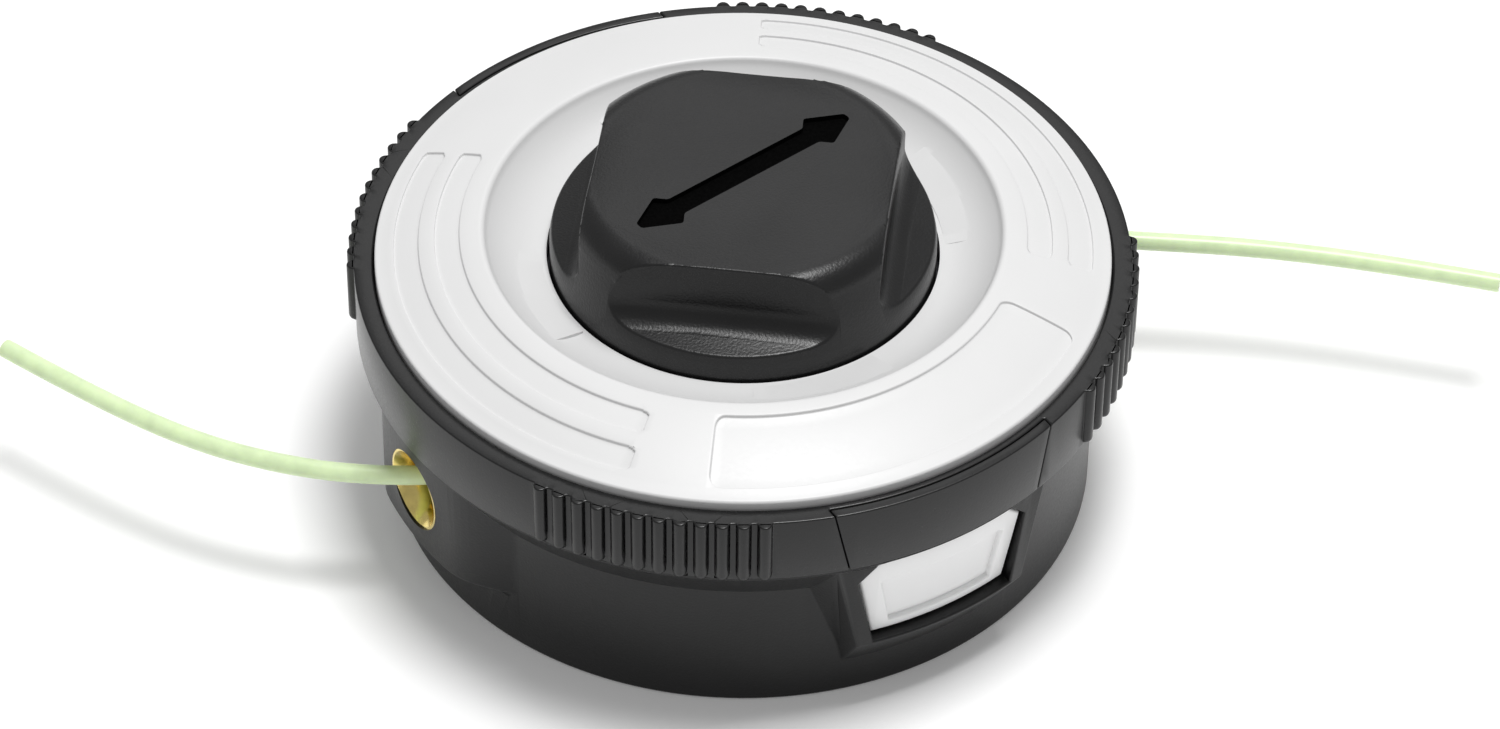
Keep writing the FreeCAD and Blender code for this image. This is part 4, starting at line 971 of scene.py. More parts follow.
def housing_cup(sizes):
    """Turned form of the housing."""
    inner = sizes.wall_radius - sizes.wall
    spigot_inner = sizes.spigot_radius - sizes.spigot_wall
    spigot_top = PARTING_Z + sizes.spigot_height
    slope_bottom = PARTING_Z - sizes.slope_height
    edge = sizes.base_round
    round_middle = (
        sizes.wall_radius - edge + edge * math.cos(math.pi / 4),
        edge - edge * math.sin(math.pi / 4),
    )
    profile = [(0.0, 0.0), (sizes.wall_radius - edge, 0.0)]
    profile += arc_through(profile[-1], round_middle, (sizes.wall_radius, edge))
    profile += [
        (sizes.wall_radius, slope_bottom),
        (sizes.shoulder_radius, PARTING_Z - sizes.shoulder_land),
        (sizes.shoulder_radius, PARTING_Z),
        (sizes.spigot_radius, PARTING_Z),
        (sizes.spigot_radius, spigot_top),
        (spigot_inner, spigot_top),
        (spigot_inner, slope_bottom + sizes.slope_height / 2),
        (inner, slope_bottom),
        (inner, sizes.floor),
        (sizes.post_radius, sizes.floor),
        (sizes.post_radius, sizes.post_top),
        (0.0, sizes.post_top),
    ]
    return turned("housing_shell", upright(profile))


def base_recess(sizes):
    """Tool for the spaces between the ribs of the base."""
    half_gap = math.pi / sizes.base_ribs
    inner_half = half_gap - math.asin(sizes.base_rib_width / 2 / sizes.recess_inner)
    outer_half = half_gap - math.asin(sizes.base_rib_width / 2 / sizes.recess_outer)
    steps = 10
    shares = [2 * step / steps - 1 for step in range(steps + 1)]
    low = -sizes.recess_depth
    plan = [polar(sizes.recess_outer, outer_half * share, low) for share in shares]
    plan += [polar(sizes.recess_inner, inner_half * share, low) for share in reversed(shares)]
    tool = prism("base_recess", plan, UP * (2 * sizes.recess_depth))
    return joined(spread(tool, sizes.base_ribs, half_gap))


def insert_pocket(springs):
    """Tool for the pocket that the threaded insert fills."""
    shank = turned("insert_pocket", upright([
        (0.0, -springs.insert_foot),
        (springs.insert_radius, -springs.insert_foot),
        (springs.insert_radius, INSERT_TOP_Z),
        (0.0, INSERT_TOP_Z),
    ]), SMALL_ROUND_STEPS)
    return combined(shank, "UNION", [hex_foot(springs, -springs.insert_foot)])


def hex_foot(springs, bottom):
    """Six-sided block of the insert's foot."""
    corner = springs.insert_flats / math.sqrt(3)
    sides = 6
    plan = [polar(corner, FULL_TURN * index / sides, bottom) for index in range(sides)]
    return prism("hex_foot", plan, UP * (springs.insert_foot - bottom))


class TRIMMER_OT_housing(bpy.types.Operator):
    """Model the moulded housing with its bosses, windows and base"""
    bl_idname = "trimmer.housing"
    bl_label = "Housing"

    def execute(self, context):
        scene = context.scene
        sizes = scene.trimmer_housing
        latch = scene.trimmer_latch
        cup = housing_cup(sizes)
        teeth = scene.trimmer_teeth
        tooth = index_tooth(teeth, sizes.floor, teeth.lower_height)
        bosses = pair(eyelet_boss(sizes)) + pair(latch_boss(sizes))
        combined(cup, "UNION", [*bosses, joined(spread(tooth, teeth.number))])
        plate_y = LATCH_PLATE_BOX[HIGH].y - latch.plate
        outside = sizes.wall_radius - sizes.boss_root
        below = PARTING_Z - 2 * sizes.shoulder_land
        softened(merged(cup), sizes.edge, SLIGHT_EDGE, keep=lambda a, b: (
            min(a.xy.length, b.xy.length) > outside and min(a.z, b.z) < below))
        outline = latch_outline(latch, side=0.0, bottom=0.0, top=0.0, y=plate_y)
        window = prism("window", outline, OUT_OF_FRONT)
        cuts = pair(window) + pair(eyelet_hole(scene.trimmer_eyelet))
        cuts += [base_recess(sizes), insert_pocket(scene.trimmer_spring)]
        combined(cup, "DIFFERENCE", cuts)
        rim = sizes.boss_radius - sizes.edge / 2
        softened(merged(cup, 2 * WELD), sizes.edge, CLEAR_EDGE, keep=lambda a, b: (
            min(a.xy.length, b.xy.length) > rim
            and max(abs(a.x), abs(b.x)) < latch.half_width + WELD
            and max(a.z, b.z) < latch.top + WELD))
        smoothed(cup)
        black = scene.trimmer_finish.black
        nylon = moulded_black("housing_nylon_grain", black, rough=0.35, gloss=0.32, bump=0.35)
        finished(cup, "head", "black_nylon", nylon, "housing")
        return {"FINISHED"}


# Cover

def ring_rib(ring):
    """Grip rib at +X, round in front and at its lower end and level with the rim on top."""
    centre_z = PARTING_Z + ring.rib_lift + ring.rib_radius
    bpy.ops.object.select_all(action="DESELECT")
    bpy.ops.mesh.primitive_uv_sphere_add(
        segments=20, ring_count=10, radius=ring.rib_radius,
        location=(ring.band_radius + ring.rib_proud - ring.rib_radius, 0, centre_z))
    rib = bpy.context.object
    rib.name = "ring_rib"
    bpy.ops.object.transform_apply(location=True, rotation=False, scale=False)
    bpy.ops.object.mode_set(mode="EDIT")
    pick_faces(rib, lambda centre, normal: centre.z > centre_z)
    bpy.ops.mesh.extrude_region_move(TRANSFORM_OT_translate={"value": UP * (RIM_TOP_Z - centre_z)})
    bpy.ops.mesh.select_all(action="SELECT")
    bpy.ops.mesh.bisect(plane_co=(0, 0, RIM_TOP_Z), plane_no=UP, use_fill=True, clear_outer=True)
    return closed_up(rib)


def drum(name, radius):
    """Upright cylinder taller than the head."""
    return turned(name, upright([(0.0, -FAR), (radius, -FAR), (radius, FAR), (0.0, FAR)]))


def panel_block(name, ring, taper, gap, depth, past):
    """Part of the skirt at -Y that a latch panel takes up, wider towards the rim."""
    low_z = PARTING_Z - past
    high_z = RIM_TOP_Z + past
    low = ring.panel_half - gap - taper * past
    high = low + taper * (high_z - low_z)
    corners = [Vector((x, -ring.ledge_radius, z)) for x, z in (
        (low, low_z), (high, high_z), (-high, high_z), (-low, low_z))]
    piece = prism(name, corners, OUT_OF_FRONT)
    return combined(piece, "DIFFERENCE", [drum("skirt_inside", ring.band_radius - depth)])


def arm_passage(ring, latch):
    """Tool for the way of the latch carrier's arm through the skirt at -Y."""
    half = latch.bracket_half + ring.seam
    low = LATCH_PLATE_BOX[HIGH].z + ring.seam
    high = RIM_TOP_Z - ring.ledge_depth - ring.ledge
    return block("arm_passage", (-half, -ring.band_radius, low), (half, -ring.ledge_radius, high))


def ring_body(ring):
    """Turned form of the cover ring."""
    ledge_top = RIM_TOP_Z - ring.ledge_depth
    return turned("ribbed_cover_ring", upright([
        (ring.skirt_radius, PARTING_Z),
        (ring.band_radius, PARTING_Z),
        (ring.band_radius, RIM_TOP_Z),
        (ring.rim_radius, RIM_TOP_Z),
        (ring.rim_radius, ledge_top),
        (ring.ledge_radius, ledge_top),
        (ring.ledge_radius, ledge_top - ring.ledge),
        (ring.skirt_radius, ledge_top - ring.ledge),
    ]))


class TRIMMER_OT_cover_ring(bpy.types.Operator):
    """Model the cover ring with its grip ribs"""
    bl_idname = "trimmer.cover_ring"
    bl_label = "Cover ring"

    def execute(self, context):
        ring = context.scene.trimmer_ring
        rib = ring_rib(ring)
        step = ring.rib_group / (ring.ribs - 1)
        group = [copied(rib, index * step - ring.rib_group / 2) for index in range(ring.ribs)]
        bpy.data.objects.remove(rib)
        ribs = joined(spread(joined(group), RIB_GROUPS, FIRST_RIB_GROUP))
        body = combined(ring_body(ring), "UNION", [ribs])
        latch = context.scene.trimmer_latch
        notch = panel_block(
            "panel_notch", ring, latch.taper, gap=0.0, depth=ring.panel_depth, past=ring.ledge)
        combined(body, "DIFFERENCE", pair(notch) + pair(arm_passage(ring, latch)))
        softened(merged(body), ring.edge, CLEAR_EDGE)
        smoothed(body)
        finished(body, "head", "black_nylon", cover_finish(context.scene), "cover_ring")
        return {"FINISHED"}


def cone_point(disc, share, drop=0.0):
    """Point on the disc's crowned cone, at a share of the way from its foot to its top."""
    foot = (disc.radius - disc.edge_round, RIM_TOP_Z + disc.edge_rise + disc.edge_round)
    top = (disc.lip_radius + disc.lip_land, RIM_TOP_Z + disc.lip_rise)
    radius = foot[0] + share * (top[0] - foot[0])
    z = foot[1] + share * (top[1] - foot[1]) + 4 * disc.crown * share * (1 - share)
    return radius, z - drop


def disc_body(disc, ring):
    """Turned form of the disc with its cone, lip, dish and knob hole."""
    ledge_top = RIM_TOP_Z - ring.ledge_depth
    edge_z = RIM_TOP_Z + disc.edge_rise
    foot_r = disc.radius - disc.edge_round
    lip_z = RIM_TOP_Z + disc.lip_rise
    floor_z = RIM_TOP_Z + disc.floor_rise
    round_middle = (
        foot_r + disc.edge_round * math.cos(math.pi / 4),
        edge_z + disc.edge_round * math.sin(math.pi / 4),
    )
    cone_steps = 10
    profile = [(disc.radius, ledge_top), (disc.radius, edge_z)]
    profile += arc_through(profile[-1], round_middle, (foot_r, edge_z + disc.edge_round))
    profile += [cone_point(disc, step / cone_steps) for step in range(1, cone_steps + 1)]
    lip_bottom = (disc.lip_radius - disc.lip_land / 2, lip_z - disc.lip_land)
    lip_middle = (disc.lip_radius, lip_z - disc.lip_land / 5)
    profile += arc_through(profile[-1], lip_middle, lip_bottom, steps=5)
    hollow = (disc.hollow_radius, RIM_TOP_Z + disc.hollow_rise)
    profile += arc_through(lip_bottom, hollow, (disc.hole_radius, floor_z), steps=14)
    profile += [
        (disc.hole_radius, floor_z - disc.thickness),
        (disc.hollow_radius, floor_z - disc.thickness + disc.hollow_rise / 3),
        (disc.lip_radius - disc.lip_land, lip_z - disc.thickness - disc.lip_land),
        cone_point(disc, share=1.0, drop=disc.thickness),
        cone_point(disc, share=0.3, drop=disc.thickness),
        (ring.ledge_radius, ledge_top),
    ]
    return turned("white_cover_disc", upright(profile))


def cone_recess(disc, inner, outer, start, end, corner):
    """Tool for a flat let into the cone between two radii and two directions, with round corners."""
    foot_r = disc.radius - disc.edge_round
    top_r = disc.lip_radius + disc.lip_land
    steps = 6
    low = []
    for step in range(steps + 1):
        radius = inner + (outer - inner) * step / steps
        low.append(cone_point(disc, (foot_r - radius) / (foot_r - top_r), disc.recess_depth))
    lift = disc.lip_rise
    section = low + [(outer, low[-1][1] + lift), (inner, low[0][1] + lift)]
    sweep = end - start
    around = round(sweep / FULL_TURN * ROUND_STEPS)
    return rounded_uprights(swept("cone_recess", upright(section, start), sweep, around), corner)


def dish_ramp(disc):
    """Low ramp in the dish that rises along its sweep and ends in a step at +X."""
    inner = disc.hole_radius + disc.ramp_margin
    outer = inner + disc.ramp_width
    floor_z = RIM_TOP_Z + disc.floor_rise
    slope = (disc.hollow_rise - disc.floor_rise) / (disc.hollow_radius - inner)
    low = floor_z - disc.thickness / 2
    high = floor_z + slope * disc.ramp_width
    section = [(inner, low), (outer, low), (outer, high), (inner, floor_z), (inner, low)]
    ramp = drawn("dish_ramp", upright(section, -disc.ramp_sweep))
    bpy.ops.object.mode_set(mode="OBJECT")
    return wound(ramp, disc.ramp_sweep, disc.ramp_rise, turns=1, steps=16)


def disc_hook(disc, ring):
    """Snap hook under the disc at +X that grips below the ring's ledge."""
    outer = ring.ledge_radius - disc.hook_fit
    inner = outer - disc.hook_wall
    grip = RIM_TOP_Z - ring.ledge_depth - ring.ledge - disc.hook_fit
    section = [
        (inner, grip - disc.hook_barb),
        (outer, grip - disc.hook_barb),
        (outer + disc.hook_barb, grip),
        (outer, grip),
        (outer, RIM_TOP_Z - ring.ledge_depth + disc.hook_fit),
        (inner, RIM_TOP_Z),
    ]
    return swept("disc_hook", upright(section, -disc.hook_half), 2 * disc.hook_half, steps=6)


def index_tooth(teeth, base_z, height):
    """Ramped index tooth at +X that stands up or down from a ring face."""
    half = teeth.length / 2
    root = -teeth.root if height > 0 else teeth.root
    outline = ((-half, root), (half, root), (half, height), (half - teeth.flat, height))
    corners = [Vector((teeth.inner_radius, y, base_z + z)) for y, z in outline]
    return prism("index_tooth", corners, Vector((teeth.width, 0, 0)))


class TRIMMER_OT_cover_disc(bpy.types.Operator):
    """Model the white disc with its recesses and dish"""
    bl_idname = "trimmer.cover_disc"
    bl_label = "Cover disc"

    def execute(self, context):
        disc = context.scene.trimmer_disc
        ring = context.scene.trimmer_ring
        teeth = context.scene.trimmer_teeth
        hook = disc_hook(disc, ring)
        hooks = [copied(hook, math.radians(turn)) for turn in HOOK_DIRECTIONS]
        bpy.data.objects.remove(hook)
        under_z = RIM_TOP_Z + disc.floor_rise - disc.thickness
        tooth = index_tooth(teeth, under_z, -teeth.upper_height)
        body = disc_body(disc, ring)
        combined(body, "UNION", spread(dish_ramp(disc), disc.ramps, disc.ramp_step))
        combined(body, "UNION", [joined(hooks), joined(spread(tooth, teeth.number))])
        ends = (disc.pad_start, disc.pad_end)
        cuts = [cone_recess(disc, disc.pad_inner, disc.pad_outer, *ends, disc.pad_corner)]
        for middle in (disc.left_band, disc.right_band):
            ends = (middle - disc.band_half, middle + disc.band_half)
            for inner in (disc.inner_band, disc.outer_band):
                cuts.append(cone_recess(disc, inner, inner + disc.band_width, *ends, disc.band_corner))
        combined(body, "DIFFERENCE", cuts)
        top = RIM_TOP_Z + disc.edge_rise
        softened(merged(body), disc.edge, CLEAR_EDGE, keep=lambda a, b: (
            min(a.xy.length, b.xy.length) > disc.lip_radius and min(a.z, b.z) > top))
        smoothed(body)
        nylon = moulded_white("disc_nylon_satin", context.scene.trimmer_finish.white)
        finished(body, "head", "white_nylon", nylon, "cover_disc")
        return {"FINISHED"}


# Knob

def knob_body(knob):
    """Turned hollow form of the knob with its plug."""
    top_z = RIM_TOP_Z + knob.rise
    shoulder_z = top_z - knob.shoulder_drop
    roof = top_z - knob.arrow_depth - knob.wall
    low_roof = knob.scoop_ledge - knob.scoop_draft - knob.wall
    narrow = knob.scoop_distance - knob.scoop_draft - knob.wall
    width = knob.shoulder_radius - knob.top_radius
    profile = [
        (0.0, roof),
        (knob.core_radius - knob.wall, roof),
        (knob.core_radius - knob.wall, PLUG_BOTTOM_Z),
        (knob.core_radius, PLUG_BOTTOM_Z),
        (knob.core_radius, roof),
        (narrow, roof),
        (narrow, low_roof),
        (knob.flange_radius - knob.wall, low_roof),
        (knob.flange_radius - knob.wall, knob.flange_bottom),
        (knob.flange_radius, knob.flange_bottom),
        (knob.flange_radius, knob.flange_top),
        (knob.shoulder_radius, shoulder_z),
    ]
    fullness = 0.72
    bend = (knob.top_radius + fullness * width, shoulder_z + fullness * knob.shoulder_drop)
    profile += arc_through(profile[-1], bend, (knob.top_radius, top_z), steps=14)
    profile += [(0.0, top_z)]
    return turned("bump_knob", upright(profile))


def finger_scoop(knob):
    """Tool for a finger scoop at +X."""
    top = RIM_TOP_Z + knob.rise + knob.wall
    foot = knob.scoop_distance - knob.scoop_draft
    root = knob.scoop_round
    far = knob.flange_radius + knob.wall
    slant = root * (1 - math.cos(math.pi / 4))
    ledge = knob.scoop_ledge
    section = [(knob.scoop_distance, top), (foot, ledge + root)]
    section += arc_through(section[-1], (foot + slant, ledge + slant), (foot + root, ledge))
    section += [(far, ledge - knob.scoop_draft), (far, top)]
    centre_x = knob.scoop_distance + knob.scoop_plan
    half = knob.flange_radius / knob.scoop_plan
    points = []
    for x, z in section:
        arm = x - centre_x
        points.append(Vector((centre_x + arm * math.cos(half), -arm * math.sin(half), z)))
    return swept("finger_scoop", points, 2 * half, steps=16, centre=(centre_x, 0, 0))


def knob_arrow(knob):
    """Tool for the double arrow along X in the top of the knob."""
    base = knob.arrow_half - knob.arrow_head
    quarter = [
        (base - knob.arrow_barb, knob.arrow_shaft_half),
        (base, knob.arrow_head_half),
        (knob.arrow_half, knob.arrow_tip_half),
    ]
    right = quarter + [(x, -y) for x, y in reversed(quarter)]
    outline = right + [(-x, -y) for x, y in right]
    floor = RIM_TOP_Z + knob.rise - knob.arrow_depth
    corners = [Vector((x, y, floor)) for x, y in outline]
    tool = prism("knob_arrow", corners, UP * (knob.arrow_depth + knob.wall))
    return rounded_uprights(tool, knob.arrow_corner, segments=4)


class TRIMMER_OT_knob(bpy.types.Operator):
    """Model the bump knob with its finger scoops and arrow"""
    bl_idname = "trimmer.knob"
    bl_label = "Bump knob"

    def execute(self, context):
        scene = context.scene
        knob = scene.trimmer_knob
        body = knob_body(knob)
        combined(body, "DIFFERENCE", spread(finger_scoop(knob), knob.scoops, knob.scoop_turn))
        sharp = copied(body, direction=0.0)
        above = knob.flange_top
        softened(cleaned(body), knob.edge, PLAIN_EDGE, keep=lambda a, b: min(a.z, b.z) > above)
        # The rounding is held inside the sharp form, so that no corner stands out of it
        modified(
            body, "SHRINKWRAP", target=sharp, wrap_method="NEAREST_SURFACEPOINT", wrap_mode="INSIDE")
        bpy.data.objects.remove(sharp)
        combined(body, "DIFFERENCE", [knob_arrow(knob)])
        turn_to(body, knob.turn)
        smoothed(body)
        black = scene.trimmer_finish.knob
        nylon = moulded_black("knob_nylon_grain", black, rough=0.33, gloss=0.38, bump=0.6)
        finished(body, "spool_and_knob", "black_nylon", nylon, "knob")
        body.data.materials.append(arrow_black(scene.trimmer_finish.arrow))
        top_z = RIM_TOP_Z + knob.rise
        for face in body.data.polygons:
            deep = top_z - face.center.z
            within = face.center.xy.length < knob.arrow_half + WELD
            if within and WELD < deep < knob.arrow_depth + WELD:
                face.material_index = 1
        return {"FINISHED"}


# Latches

def face_radius(latch, z):
    """Radius of the latch's leaning face at a height."""
    return latch.face_radius - latch.lean * (PARTING_Z - z)


def latch_front(name, latch, depth):
    """Turned body whose side is the latch's leaning face, sunk by a depth."""
    foot = face_radius(latch, 0.0) - depth
    top = face_radius(latch, PARTING_Z) - depth
    return turned(name, upright([(0.0, 0.0), (foot, 0.0), (top, PARTING_Z), (0.0, PARTING_Z)]))


def latch_button(latch):
    """Release button at -Y with its curved face, sunk panel and plate."""
    inner_y = LATCH_PLATE_BOX[HIGH].y
    plate_y = inner_y - latch.plate
    gap = latch.gap
    outline = latch_outline(latch, gap, gap, gap, (plate_y + inner_y) / 2)
    button = prism("latch_button_front", outline, OUT_OF_FRONT)
    combined(button, "INTERSECT", [latch_front("latch_face", latch, depth=0.0)])
    insets = (gap + latch.side_border, gap + latch.bottom_border, gap + latch.top_border)
    panel = prism("latch_panel", latch_outline(latch, *insets, plate_y), OUT_OF_FRONT)
    combined(panel, "DIFFERENCE", [latch_front("panel_floor", latch, depth=latch.panel_depth)])
    combined(button, "DIFFERENCE", [panel])
    choose(button)
    bpy.ops.object.mode_set(mode="EDIT")
    skin = 0.02 * MM
    pick_edges(button, PLAIN_EDGE, lambda a, b: (
        a.xy.length > face_radius(latch, a.z) - skin and b.xy.length > face_radius(latch, b.z) - skin))
    bpy.ops.mesh.bevel(offset=latch.edge, segments=4, affect="EDGES", clamp_overlap=False)
    closed_up(button)
    half = latch.half_width + latch.plate_margin
    low_z = latch.bottom - latch.plate_margin
    high_z = latch.top + latch.plate_margin
    plate = block("latch_plate", (-half, plate_y, low_z), (half, inner_y, high_z))
    tongue = block(
        "latch_tongue", (-latch.tongue_half, plate_y, high_z - latch.plate),
        (latch.tongue_half, inner_y, LATCH_PLATE_BOX[HIGH].z))
    combined(button, "UNION", [combined(plate, "UNION", [tongue])])
    pocket_y = inner_y - latch.pocket_depth
    pocket = pin("spring_pocket", latch.pocket_radius, pocket_y, inner_y + latch.plate)
    return combined(button, "DIFFERENCE", [pocket])


def pin(name, radius, from_y, to_y):
    """Round pin along Y at the height of the latch spring."""
    centre_z = (LATCH_SPRING_BOX[LOW].z + LATCH_SPRING_BOX[HIGH].z) / 2
    outline = ((0.0, from_y), (radius, from_y), (radius, to_y), (0.0, to_y))
    points = [Vector((0, y, centre_z + reach)) for reach, y in outline]
    return turned(name, points, SMALL_ROUND_STEPS, (0, 0, centre_z), (0, 1, 0))


def latch_carrier(latch, ring):
    """Carrier at -Y: panel in the cover's skirt, arm over the housing wall and spring bracket."""
    depth = ring.panel_depth - ring.seam
    panel = panel_block(
        "latch_carrier_front", ring, latch.taper, gap=ring.seam, depth=depth, past=0.0)
    combined(panel, "INTERSECT", [drum("skirt_outside", ring.band_radius)])
    half = latch.bracket_half
    spigot_top = LATCH_PLATE_BOX[HIGH].z + 2 * ring.seam
    arm_top = RIM_TOP_Z - ring.ledge_depth - ring.ledge - ring.seam
    arm_y = -ring.band_radius + ring.panel_depth / 2
    inner_y = BRACKET_BOX[HIGH].y
    bracket_y = inner_y - latch.bracket
    corner = (half, inner_y, arm_top)
    arm = block("carrier_arm", (-half, arm_y, spigot_top), corner)
    bracket = block("carrier_bracket", (-half, bracket_y, latch.bracket_foot), corner)
    peg_end = bracket_y - latch.peg_length
    peg = pin("spring_peg", latch.peg_radius, peg_end, inner_y - latch.bracket / 2)
    combined(panel, "UNION", [arm, combined(bracket, "UNION", [peg])])
    return softened(cleaned(panel), ring.edge, CLEAR_EDGE)


class TRIMMER_OT_latches(bpy.types.Operator):
    """Model the release latches and the carriers over them"""
    bl_idname = "trimmer.latches"
    bl_label = "Latches"

    def execute(self, context):
        scene = context.scene
        latch = scene.trimmer_latch
        buttons = {"front": smoothed(latch_button(latch))}
        carriers = {"front": smoothed(latch_carrier(latch, scene.trimmer_ring))}
        buttons["back"] = copied(buttons["front"], HALF_TURN)
        carriers["back"] = copied(carriers["front"], HALF_TURN)
        # Brighter white than the disc's, as painted light for the latches' upright faces
        white = moulded_white("latch_nylon_painted_light", scene.trimmer_finish.latch)
        black = cover_finish(scene)
        for side in ("front", "back"):
            buttons[side].name = "latch_button_" + side
            carriers[side].name = "latch_carrier_" + side
            finished(buttons[side], side + "_latch", "white_nylon", white, "latch_" + side)
            finished(carriers[side], "head", "black_nylon", black, "latch_frame_" + side)
        return {"FINISHED"}


# Metal pieces

class TRIMMER_OT_eyelets(bpy.types.Operator):
    """Model the flared brass eyelets"""
    bl_idname = "trimmer.eyelets"
    bl_label = "Eyelets"

    def execute(self, context):
        scene = context.scene
        eyelet = scene.trimmer_eyelet
        barrel = eyelet.barrel_radius
        lip = eyelet.lip_radius
        bore = barrel - eyelet.wall
        lip_bore = lip - eyelet.wall / 2
        mouth = EYELET_FACE_X - eyelet.flare
        profile = [(bore, EYELET_START_X), (barrel, EYELET_START_X), (barrel, mouth)]
        profile += arc_through(
            profile[-1], eyelet_bend(barrel, lip, eyelet.flare), (lip, EYELET_FACE_X))
        profile += [(lip_bore, EYELET_FACE_X)]
        profile += arc_through(profile[-1], eyelet_bend(bore, lip_bore, eyelet.flare), (bore, mouth))
        right = smoothed(turned_x("brass_eyelet_right", profile))
        left = copied(right, HALF_TURN)
        left.name = "brass_eyelet_left"
        brass = metal("eyelet_brass", scene.trimmer_finish.brass, scale=700.0, rough=0.2)
        finished(right, "head", "brass", brass, "eyelet_right")
        finished(left, "head", "brass", brass, "eyelet_left")
        return {"FINISHED"}


def coil(name, radius, wire, length, turns, seat_gap):
    """Coil spring that stands on the origin."""
    bpy.ops.object.select_all(action="DESELECT")
    bpy.ops.mesh.primitive_circle_add(
        vertices=12, radius=wire / 2, fill_type="NOTHING",
        location=(radius, 0, wire / 2 + seat_gap), rotation=(QUARTER_TURN, 0, 0))
    spring = bpy.context.object
    spring.name = name
    bpy.ops.object.transform_apply(location=True, rotation=True, scale=False)
    pitch = (length - wire - 2 * seat_gap) / turns
    return smoothed(wound(spring, FULL_TURN, pitch, turns, steps=48), STEEP_EDGE)


def tapped_insert(springs):
    """Steel insert with its six-sided foot and its grip groove, before its thread is cut."""
    body = turned("tapped_insert", upright([
        (0.0, 0.0),
        (springs.insert_radius, 0.0),
        (springs.insert_radius, INSERT_TOP_Z),
        (0.0, INSERT_TOP_Z),
    ]), SMALL_ROUND_STEPS)
    combined(body, "UNION", [hex_foot(springs, 0.0)])
    middle = (springs.insert_foot + INSERT_TOP_Z) / 2
    inner = springs.insert_radius - springs.groove_depth
    outer = 2 * springs.insert_radius
    low = middle - springs.groove_width / 2
    high = middle + springs.groove_width / 2
    section = [(inner, low), (outer, low), (outer, high), (inner, high)]
    groove = turned("grip_groove", upright(section), SMALL_ROUND_STEPS)
    return combined(body, "DIFFERENCE", [groove])


def thread_tap(springs):
    """Tool for the left-hand thread: one pitch of its section wound up the spin axis."""
    depth = springs.thread_root - springs.thread_core
    flank = depth * math.tan(THREAD_FLANK)
    land = springs.thread_pitch / 8
    start = -2 * springs.thread_pitch
    core = springs.thread_core
    root = springs.thread_root
    section = [
        (core, start),
        (root, start + flank),
        (root, start + (flank + land)),
        (core, start + (2 * flank + land)),
        (core, start + springs.thread_pitch),
    ]
    tap = drawn("thread_tap", upright(section))
    bpy.ops.object.mode_set(mode="OBJECT")
    turns = math.ceil((INSERT_TOP_Z - 2 * start) / springs.thread_pitch)
    return wound(tap, -FULL_TURN, springs.thread_pitch, turns, SMALL_ROUND_STEPS)


class TRIMMER_OT_springs(bpy.types.Operator):
    """Model the bump spring, the latch springs and the threaded insert"""
    bl_idname = "trimmer.springs"
    bl_label = "Springs and insert"

    def execute(self, context):
        scene = context.scene
        springs = scene.trimmer_spring
        floor = scene.trimmer_housing.floor
        steel = metal("spring_steel_wire", scene.trimmer_finish.spring, scale=900.0, rough=0.3)
        length = WASHER_BOTTOM_Z - floor
        bump = coil(
            "bump_coil", springs.bump_radius, springs.bump_wire, length, springs.bump_turns,
            springs.seat_gap)
        bump.location.z = floor
        choose(bump)
        bpy.ops.object.transform_apply(location=True, rotation=False, scale=False)
        finished(bump, "head", "spring_steel", steel, "bump_spring")
        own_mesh(bump)

        seat_y = LATCH_SPRING_BOX[HIGH].y + springs.seat_gap
        length = seat_y - LATCH_SPRING_BOX[LOW].y + springs.seat_gap
        centre_z = (LATCH_SPRING_BOX[LOW].z + LATCH_SPRING_BOX[HIGH].z) / 2
        front = coil(
            "latch_coil_front", springs.latch_radius, springs.latch_wire, length, springs.latch_turns,
            springs.seat_gap)
        front.rotation_euler.x = QUARTER_TURN
        front.location = (0, seat_y, centre_z)
        choose(front)
        bpy.ops.object.transform_apply(location=True, rotation=True, scale=False)
        back = copied(front, HALF_TURN)
        back.name = "latch_coil_back"
        for spring, side, anchor_y in ((front, "front", seat_y), (back, "back", -seat_y)):
            finished(spring, "head", "spring_steel", steel, "latch_spring_" + side)
            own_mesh(spring)

        insert = cleaned(tapped_insert(springs))
        softened(insert, springs.insert_edge, STEEP_EDGE, segments=2)
        combined(insert, "DIFFERENCE", [thread_tap(springs)])
        zinc = metal("insert_zinc", scene.trimmer_finish.insert, scale=600.0, rough=0.35)
        finished(smoothed(insert), "head", "insert_steel", zinc, "threaded_insert")
        return {"FINISHED"}


class TRIMMER_OT_inner_pieces(bpy.types.Operator):
    """Give the spool, the wound line and the washer their finishes"""
    bl_idname = "trimmer.inner_pieces"
    bl_label = "Inner pieces"

    def execute(self, context):
        finish = context.scene.trimmer_finish
        spool = moulded_black("spool_plastic_grain", finish.spool, rough=0.45, gloss=0.4, bump=0.2)
        line = wound_line(finish.line)
        steel = metal("washer_zinc", finish.insert, scale=600.0, rough=0.35)
        dress = {"spool": spool, "winding_lower": line, "winding_upper": line, "thrust_washer": steel}
        for node, material in dress.items():
            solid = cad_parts[node]
            solid.data.materials.clear()
            solid.data.materials.append(material)
        return {"FINISHED"}


# Cut line

def cut_line(name, route, diameter):
    """Line along a smooth curve through its route at the eyelets' height."""
    bpy.ops.object.select_all(action="DESELECT")
    bpy.ops.curve.primitive_nurbs_path_add()
    piece = bpy.context.object
    piece.name = name
    curve = piece.data
    curve.splines.clear()
    spline = curve.splines.new("NURBS")
    spline.points.add(len(route) - 1)
    for point, (x, y) in zip(spline.points, route):
        point.co = (x * MM, y * MM, LINE_Z, 1.0)
    spline.order_u = 3
    spline.use_endpoint_u = True
    spline.resolution_u = 24
    curve.dimensions = "3D"
    curve.bevel_depth = diameter / 2
    curve.bevel_resolution = 6
    curve.use_fill_caps = True
    return piece


